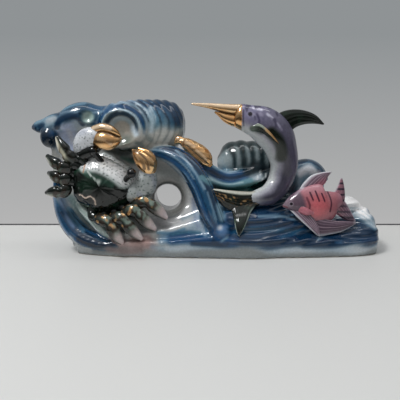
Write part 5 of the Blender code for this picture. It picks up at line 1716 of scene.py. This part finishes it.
@dataclass
class Crab:
    """The crab: a domed dark green shell, bead eyes on stalks, gilt claws, speckled arms and eight legs."""

    centre: tuple[float, float, float] = (-55.6, -17, 38.4)
    tilt: float = 28
    width: float = 35
    length: float = 30.5
    eye_radius: float = 2.6
    leg_half: float = 2.8
    right_eye: tuple[float, float, float] = (-38.4, -25, 46)
    left_eye: tuple[float, float, float] = (-58.8, -22.5, 57.6)
    right_legs: Sequence = (
        (-22, (24, -7, -8.4), (31.5, -7, -13.4), (35, -4.5, -17.2)),
        (-42, (18.5, -9.5, -12.9), (25, -9.5, -18.9), (28.9, -7, -23)),
        (-62, (12, -11, -16.9), (17.5, -11, -23.3), (21.8, -8.5, -28)),
        (-84, (4.8, -11, -19.4), (8.4, -11, -25.7), (11.2, -8.5, -30.2)),
    )
    left_legs: Sequence = (
        (150, (-15.5, -3.5, 15.6), (-19.5, -3.5, 21.1), (-23, -1.5, 26.2)),
        (168, (-18, -4, 10.1), (-24.5, -3, 12.9), (-29.2, -0.5, 16)),
        (186, (-19.5, -4, 4.1), (-25, -3, 5.7), (-28.8, -0.5, 6.8)),
        (204, (-20, -4, -2.4), (-26, -3, -2.9), (-30.6, -0.5, -4)),
    )

    def on_shell(self, angle: Array | float, share: Array | float, depth: Array | float) -> Array:
        """Places on the shell: an ellipse of the given share of its outline, turned by the crab's tilt."""
        turn, tilt = np.radians(angle), -math.radians(self.tilt)
        side = np.cos(turn) * self.width / 2 * share
        ahead = np.sin(turn) * self.length / 2 * share
        x = side * math.cos(tilt) - ahead * math.sin(tilt)
        z = side * math.sin(tilt) + ahead * math.cos(tilt)
        return np.array(self.centre) + np.stack(np.broadcast_arrays(x, depth, z), axis=-1)

    def shell(self, material: Material) -> Object:
        """The carapace: rings from the underside over the scalloped edge to the dome, with low bosses."""
        profile = smooth_rows(
            (
                (0.3, 11.4), (0.55, 11), (0.86, 5), (1, 0.6), (0.975, -2), (0.8, -5.4), (0.52, -8.1),
                (0.22, -9.3), (0.03, -9.5),
            ),
            90, places=2,
        )
        angle = np.linspace(0, 360, 180, endpoint=False)
        scallop = 0.035 * np.cos(np.radians(6 * angle)) + 0.012 * np.cos(np.radians(22 * angle))
        share = profile[:, :1] * (1 + scallop * step(0.55, 0.95, profile[:, :1]))
        depth = np.broadcast_to(profile[:, 1:], share.shape)
        rings = self.on_shell(np.broadcast_to(angle, share.shape), share, depth)
        skin = skinned(rings, np.radians(angle))
        points = skin.points
        # Low bosses a few millimetres across, on the top of the dome alone.
        bumps = 0.35 * step(0.2, 0.9, ripple_noise(points, 4, 13)) * step(-14, -18, points[:, 1])
        points[:, 1] -= bumps
        coat = Coat(points, "#0A100D")
        self.paint_shell(coat)
        return dress("crab_shell", skin, coat, material)

    def paint_shell(self, coat: Coat) -> None:
        """Very dark green, a speckled white band along the front, two pink-gilt lines and two painted glints.
        """
        coat.lay("#1C3A2B", 0.55 * coat.patches(12, 9, 0.2, 1))
        coat.strokes(
            Side.BOTH, ("#2F5A45", ((-70, 47), (-66, 49), (-62, 46)), 3.6, 0.6, 0.9),
            ("#3B5A48", ((-66, 27.6), (-60, 25.4)), 3, 0.5, 0.9),
        )
        band = ((-63, 51), (-57, 51.4), (-51, 49.2), (-45.6, 45.6), (-41.8, 42))
        coat.strokes(Side.BOTH, ("#AEB8B6", band, 6.4, 0.95, 0.35), ("#F0F1F2", band, 5.4, 0.95, 0.6))
        self.speckle(coat, band, 6.4)
        coat.strokes(
            Side.BOTH, ("#35564A", ((-62.4, 46), (-56, 43), (-49, 39.4)), 2.6, 0.6, 0.8),
            # These two small pale strokes are painted glints on the dark shell.
            ("#C9CFCB", ((-61.6, 46.8), (-59.8, 44.6)), 0.7, 0.85, 0.5),
            ("#C9CFCB", ((-58.6, 43.8), (-56.2, 41.6), (-54.6, 40.6)), 0.7, 0.85, 0.5),
        )
        wave = ((-68, 33.4), (-66.2, 34.2), (-63.6, 32.6), (-60.6, 33.6), (-58.4, 31.6), (-58.4, 28))
        coat.strokes(
            Side.BOTH, ("#DCC7B6", wave, 0.55, 0.95, 0.4),
            ("#B98A6C", ((-63.8, 50.4), (-64.2, 46.4)), 0.6, 0.7, 0.5),
        )

    @staticmethod
    def speckle(coat: Coat, path: Rows, width: float) -> None:
        """Dark specks about a millimetre across, where a fine noise runs high, along a line."""
        fleck = step(
            0.6, 0.9, ripple_noise(coat.points, 1.7, 31) + 0.4 * ripple_noise(coat.points, 1.1, 32)
        )
        line = smooth_rows(path, 6 * len(path), places=2) if len(path) > 2 else np.array(path)
        near = step(width, 0.6 * width, nearest_on(coat.points, line)[2])
        coat.lay("#3C4A48", 0.7 * fleck * near)

    def leg(self, side: int, number: int) -> tuple[Skin, Coat]:
        """One bent leg: a dark root, brown and gold spots at the joint, a pale tip, and a pale upper side
        over an underside kept dark as painted shade.

        Args:
            side: 1 for the right legs and -1 for the left ones.
            number: which leg.

        Returns:
            Its surface and its coat.
        """
        angle, knee, shin, tip = (self.right_legs if side > 0 else self.left_legs)[number]
        half = self.leg_half
        centre = np.array(self.centre)
        rows = (
            (*self.on_shell(angle, 0.72, -1), half, half),
            (*self.on_shell(angle, 1.04, -2.4), half * 0.95, half),
            (*(centre + knee), half * 1.25, half * 1.1), (*(centre + shin), half * 1.1, half),
            (*(centre + tip), half * 0.5, half * 0.5),
        )

        def relief(share: Array, turn: Array) -> Array:
            joint = -0.7 * (step(0.07, 0, np.abs(share - 0.6)) + step(0.05, 0, np.abs(share - 0.36)))
            return joint + 0.25 * np.cos(3 * turn) * step(0.2, 0.5, share) * step(1, 0.8, share)

        skin = swept(rows, 70, 40, relief)
        coat = Coat(skin.points, "#0F1814")
        # The upper side and the top of the tip are laid paler; the underside keeps the dark glaze of the
        # root, which there also stands for painted shade beneath the leg.
        top = np.cos(skin.angle)
        light = step(0.4, 0.58, skin.share) * step(-0.2, 0.4, top)
        coat.lay("#75857A" if side > 0 else ("#D2CDB6" if number == 0 else "#5E665C"), 0.9 * light)
        blotch = coat.patches(3.4, 40 + number, -0.3, 0.3)
        coat.lay(
            "#2A1D14",
            (
                0.5 if side < 0 and number == 0 else 0.85
            ) * blotch * step(0.34, 0.46, skin.share) * step(0.8, 0.66, skin.share),
        )
        if side > 0:
            coat.lay("#D9C4C2", 0.9 * step(0.68, 0.8, skin.share) * step(-0.8, 0, top))
            coat.lay("#EFE4E2", 0.8 * step(0.76, 0.9, skin.share) * step(0, 0.7, top))
            coat.lay("#C79A98", 0.6 * step(0.86, 1, skin.share))
            spots = coat.patches(3.6, 50 + number, 0.5, 0.85)
            coat.gild(0.8 * spots * step(0.34, 0.42, skin.share) * step(0.7, 0.6, skin.share))
        else:
            coat.lay("#D6D3C8", 0.85 * step(0.62, 0.84, skin.share) * step(0.2, 0.8, top))
            coat.lay("#7A5E4C", 0.6 * step(0.9, 1, skin.share) * step(0, 0.6, top))
        return skin, coat

    def legs(self, material: Material) -> list[Object]:
        """The four right and the four left legs, each side as one piece."""
        made = []
        for side, name in ((1, "right"), (-1, "left")):
            skins, coats = zip(*(self.leg(side, number) for number in range(len(self.right_legs))))
            made.append(dress(f"crab_{name}_legs", merged(skins), Coat.merged(coats), material))
        return made

    def arms(self, material: Material) -> Object:
        """The two speckled arms, darkened at the root as painted shade, and the dark left shoulder."""
        left_shoulder = (
            (-69.5, -15, 53, 2.6, 3.2), (-64.5, -19.5, 55.8, 3.4, 3.4), (-59, -20.5, 58.4, 3.2, 3.2),
            (-55.5, -20, 60.4, 2.2, 2.4),
        )
        left_arm = (
            (-66, -16, 53.8, 3, 3), (-66.6, -17.5, 57.6, 3.8, 3.8), (-65.2, -19.5, 61.6, 4.8, 4.4),
            (-62.4, -20.5, 64.2, 5.4, 4.8), (-58.8, -21.5, 65, 5.2, 4.6), (-55.6, -22, 64.6, 4, 4),
        )
        right_arm = (
            (-43.6, -17, 32.8, 3.8, 3.4), (-38, -19, 33.9, 4.9, 4.4), (-32.4, -20, 37.9, 6, 5),
            (-30.4, -20.5, 42.9, 5.4, 4.8), (-30.6, -20.5, 47.4, 4.2, 4),
        )
        skins, coats = [], []
        for rows, colour, flecked in (
            (left_shoulder, "#0B110F", False), (left_arm, "#D6D9DE", True), (right_arm, "#9DA3A2", True)
        ):
            arm = swept(rows, 70, 60)
            coat = Coat(arm.points, colour)
            if flecked:
                coat.lay("#D3D6DA", 0.5 * coat.patches(6, 61, 0.2, 0.9))
                self.speckle(coat, [(row[0], row[2]) for row in rows], 8)
                coat.lay("#8D93A6", 0.4 * coat.patches(9, 62, 0.2, 0.9))
                # Darker towards the shell: painted shade where the arm meets it.
                coat.lay("#4C5654", 0.8 * step(0.3, 0, arm.share))
            skins.append(arm)
            coats.append(coat)
        return dress("crab_arms", merged(skins), Coat.merged(coats), material)

    def claws(self, material: Material) -> Object:
        """Both claws, gilt: a broad palm with a notch at its end, and a curved finger above it, with painted
        shade in the gaps and a dimple, and painted highlights on the tops.
        """
        left_palm = (
            (-58.6, -21.5, 64.6, 3.6, 3.6), (-56.2, -22, 63.9, 4.4, 4.2), (-53, -23.5, 63.4, 5, 4.6),
            (-49.4, -24, 62.9, 4.7, 4.2), (-46.3, -23.5, 63.3, 3, 3), (-43.8, -23, 64.4, 0.8, 0.9),
        )
        left_finger = (
            (-58, -21.5, 68.6, 2.4, 2.8), (-53.2, -23.2, 69.8, 2.5, 2.8), (-49, -23.8, 68.9, 2.2, 2.5),
            (-46, -23.5, 67.2, 1.5, 1.8), (-44, -23, 65.2, 0.5, 0.6),
        )
        right_palm = (
            (-29.8, -20.8, 46, 3.8, 3.6), (-29.9, -22, 49.6, 4.8, 4.4), (-32.6, -23, 53, 4.5, 4.2),
            (-36.1, -22.5, 56.5, 2.4, 2.6), (-37.9, -22, 58, 0.7, 0.8),
        )
        right_finger = (
            (-28, -21, 47.6, 2.6, 2.6), (-27.6, -22, 52.6, 2.6, 2.6), (-30.4, -22.5, 56.6, 2.1, 2.3),
            (-34.7, -22, 58.9, 0.6, 0.8),
        )
        skin = merged([swept(rows, 60, 48) for rows in (left_palm, left_finger, right_palm, right_finger)])
        coat = Coat(skin.points, "#24130A")
        coat.gild(np.ones(len(skin.points)))
        # Less lustre in the gaps and in a dimple of the palm is painted shade; the cream lines on the tops
        # are painted highlights.
        coat.shade_crease(((-57.6, 67), (-53.6, 67.6), (-48.6, 66.6), (-44.4, 64.9)), 0.9, 0.9)
        coat.shade_crease(((-50.4, 63.4), (-48.6, 62.6), (-46.8, 62.8)), 0.9, 0.7)
        coat.shade_crease(((-36.9, 57.7), (-33.4, 56.3), (-30, 52.8), (-29, 48.2)), 0.9, 0.85)
        coat.thin(((-58, 69.6), (-53.4, 70.8), (-48.8, 69.6)), 2.4, 1)
        coat.thin(((-55, 64.4), (-51.4, 63.6), (-48.4, 61.4)), 1.8, 0.7)
        coat.thin(((-35.6, 55.6), (-34.4, 53.4)), 1.3, 0.6)
        coat.thin(((-27.6, 54), (-26.6, 52)), 1.2, 0.6)
        coat.shade_crease(((-33.4, 53), (-31.6, 50.8), (-31.4, 48.6)), 1.3, 0.7)
        coat.shade_crease(((-28.4, 57.4), (-27, 56.6), (-26, 54.6)), 0.8, 0.6)
        return dress("crab_claws", skin, coat, material)

    def eyes(self, material: Material) -> Object:
        """The bead eyes, nearly black, on short stalks."""
        skins = []
        for place, angle in ((self.right_eye, 42), (self.left_eye, 105)):
            root = self.on_shell(angle, 0.72, -2.5)
            skins.append(swept(((*root, 1.7, 1.7), (*place, 1.4, 1.4)), 12, 24))
            skins.append(ball(place, (self.eye_radius,) * 3))
        skin = merged(skins)
        coat = Coat(skin.points, "#05070A")
        coat.lay("#1A262C", 0.4 * coat.patches(3, 71, 0.3, 0.9))
        return dress("crab_eyes", skin, coat, material)

    def build(self, material: Material) -> list[Object]:
        """All pieces of the crab."""
        return [
            self.shell(material), *self.legs(material), self.arms(material), self.claws(material),
            self.eyes(material),
        ]


# Studio


@dataclass(frozen=True)
class Studio:
    """Table, wall, soft lamps and the camera at the photograph's angle."""

    wall_y: float = 55.5
    camera_place: tuple[float, float, float] = (-0.002, -0.2786, 0.0742)
    camera_tilt: float = 80.46
    lens: float = 43.2
    table_colour: str = "#D4D4D2"
    wall_low: str = "#B4B4B4"
    wall_high: str = "#8F9395"
    wall_foot_shadow: str = "#4A4A4C"
    room_low: str = "#7C7C7C"
    room_high: str = "#E2E4E6"
    room_strength: float = 0.72

    def table(self) -> None:
        """A pale, slightly glossy table top. The glaze mirrors it only near by, as of a small table."""
        material, tree = new_material("pale_laminate_table")
        colour = shade(self.table_colour)
        shader = add(
            tree, "ShaderNodeBsdfPrincipled", Base_Color=colour, Roughness=0.45, Specular_IOR_Level=0.3
        )
        dim = add(tree, "ShaderNodeBsdfDiffuse", Color=shade("#3A3A3A"))
        place = add(tree, "ShaderNodeTexCoord").outputs["Object"]
        away = add(tree, "ShaderNodeVectorMath", {"operation": "LENGTH"}, i0=place).outputs["Value"]
        far = add(tree, "ShaderNodeMapRange", Value=away, From_Min=0.11, From_Max=0.2).outputs["Result"]
        mirrored = add(tree, "ShaderNodeLightPath").outputs["Is Glossy Ray"]
        share = add(tree, "ShaderNodeMath", {"operation": "MULTIPLY"}, i0=far, i1=mirrored).outputs["Value"]
        mixed = add(
            tree, "ShaderNodeMixShader", Fac=share, i1=shader.outputs["BSDF"], i2=dim.outputs["BSDF"]
        )
        finish_tree(tree, mixed.outputs["Shader"])
        self.plane("table", ((-1.5, -1.5, 0), (1.5, -1.5, 0), (1.5, 1.5, 0), (-1.5, 1.5, 0)), material)

    def plane(self, name: str, corners: Rows, material: Material) -> Object:
        """A flat sheet of the stage."""
        mesh = bpy.data.meshes.new(name)
        mesh.from_pydata([tuple(corner) for corner in corners], [], [(0, 1, 2, 3)])
        mesh.materials.append(material)
        obj = linked(name, mesh)
        return obj

    def wall(self) -> None:
        """A grey wall that glows with painted light, darker above, with a painted shadow at its foot. From
        behind it is not seen.
        """
        material, tree = new_material("glowing_grey_wall")
        place = add(tree, "ShaderNodeTexCoord").outputs["Object"]
        height = add(tree, "ShaderNodeSeparateXYZ", Vector=place).outputs["Z"]
        rise = add(tree, "ShaderNodeMapRange", Value=height, From_Min=0, From_Max=0.13)
        tone = mixed(tree, rise.outputs["Result"], shade(self.wall_low), shade(self.wall_high))
        gap = add(tree, "ShaderNodeMath", {"operation": "GREATER_THAN"}, i0=height, i1=0.0009)
        colour = mixed(tree, gap.outputs["Value"], shade(self.wall_foot_shadow), tone)
        # The wall glows by itself: its grey, darker towards the top, is painted light, and the dark line at
        # its foot is a painted shadow.
        glow = add(tree, "ShaderNodeEmission", Color=colour)
        clear = add(tree, "ShaderNodeBsdfTransparent")
        behind = add(tree, "ShaderNodeNewGeometry").outputs["Backfacing"]
        seen = add(
            tree, "ShaderNodeMixShader", Fac=behind, i1=glow.outputs["Emission"], i2=clear.outputs["BSDF"]
        )
        finish_tree(tree, seen.outputs["Shader"])
        y = self.wall_y * MM
        self.plane("wall", ((-0.9, y, 0), (0.9, y, 0), (0.9, y, 0.6), (-0.9, y, 0.6)), material)

    def lamp(self, name: str, place: tuple, aim: tuple, size: tuple, power: float) -> None:
        """A rectangular soft lamp that points at a place."""
        data = bpy.data.lights.new(name, "AREA")
        data.shape = "RECTANGLE"
        data.size, data.size_y = size
        data.energy = power
        obj = linked(name, data)
        obj.location = place
        way = np.array(aim) - np.array(place)
        flat = math.hypot(way[0], way[1])
        obj.rotation_euler = (math.atan2(flat, -way[2]), 0, math.atan2(way[1], way[0]) - math.pi / 2)

    def world(self) -> None:
        """The room: a bright ceiling, pale walls and a dimmer floor side, for glaze and gold to show."""
        world = bpy.data.worlds.new("room")
        bpy.context.scene.world = world
        world.use_nodes = True
        tree = world.node_tree
        tree.nodes.clear()
        way = add(tree, "ShaderNodeTexCoord").outputs["Generated"]
        split = add(tree, "ShaderNodeSeparateXYZ", Vector=way)
        rise = add(tree, "ShaderNodeMapRange", Value=split.outputs["Z"], From_Min=0.2, From_Max=0.85)
        tone = mixed(tree, rise.outputs["Result"], shade(self.room_low), shade(self.room_high))
        back = add(tree, "ShaderNodeBackground", Color=tone, Strength=self.room_strength)
        add(tree, "ShaderNodeOutputWorld", Surface=back.outputs["Background"])

    def camera(self) -> None:
        """The camera at the photograph's place."""
        data = bpy.data.cameras.new("camera")
        data.lens = self.lens
        data.sensor_width = 36
        data.clip_start = 0.01
        obj = linked("camera", data)
        obj.location = self.camera_place
        obj.rotation_euler = (math.radians(self.camera_tilt), 0, 0)
        bpy.context.scene.camera = obj

    def build(self) -> None:
        """The whole stage."""
        bpy.context.scene.view_settings.view_transform = "Standard"
        self.table()
        self.wall()
        self.world()
        self.lamp("soft_key", (-0.34, -0.26, 0.72), (0, 0, 0.04), (0.2, 0.2), 3.8)
        self.lamp("ceiling_card", (0.02, 0.16, 0.75), (0, 0, 0.04), (0.9, 0.4), 3)
        self.camera()


def main() -> None:
    """Builds the figurine piece by piece, then its stage."""
    logging.basicConfig(level=logging.INFO, format="%(name)s: %(message)s")
    porcelain = GlazedPorcelain().build()
    water = Waves().build(porcelain)
    LOG.info("water done: %s", water.name)
    for creature in (Marlin(), Angelfish(), GiltFish(), Crab()):
        for piece in creature.build(porcelain):
            LOG.info("%s done", piece.name)
    Studio().build()


if __name__ == "__main__":
    main()
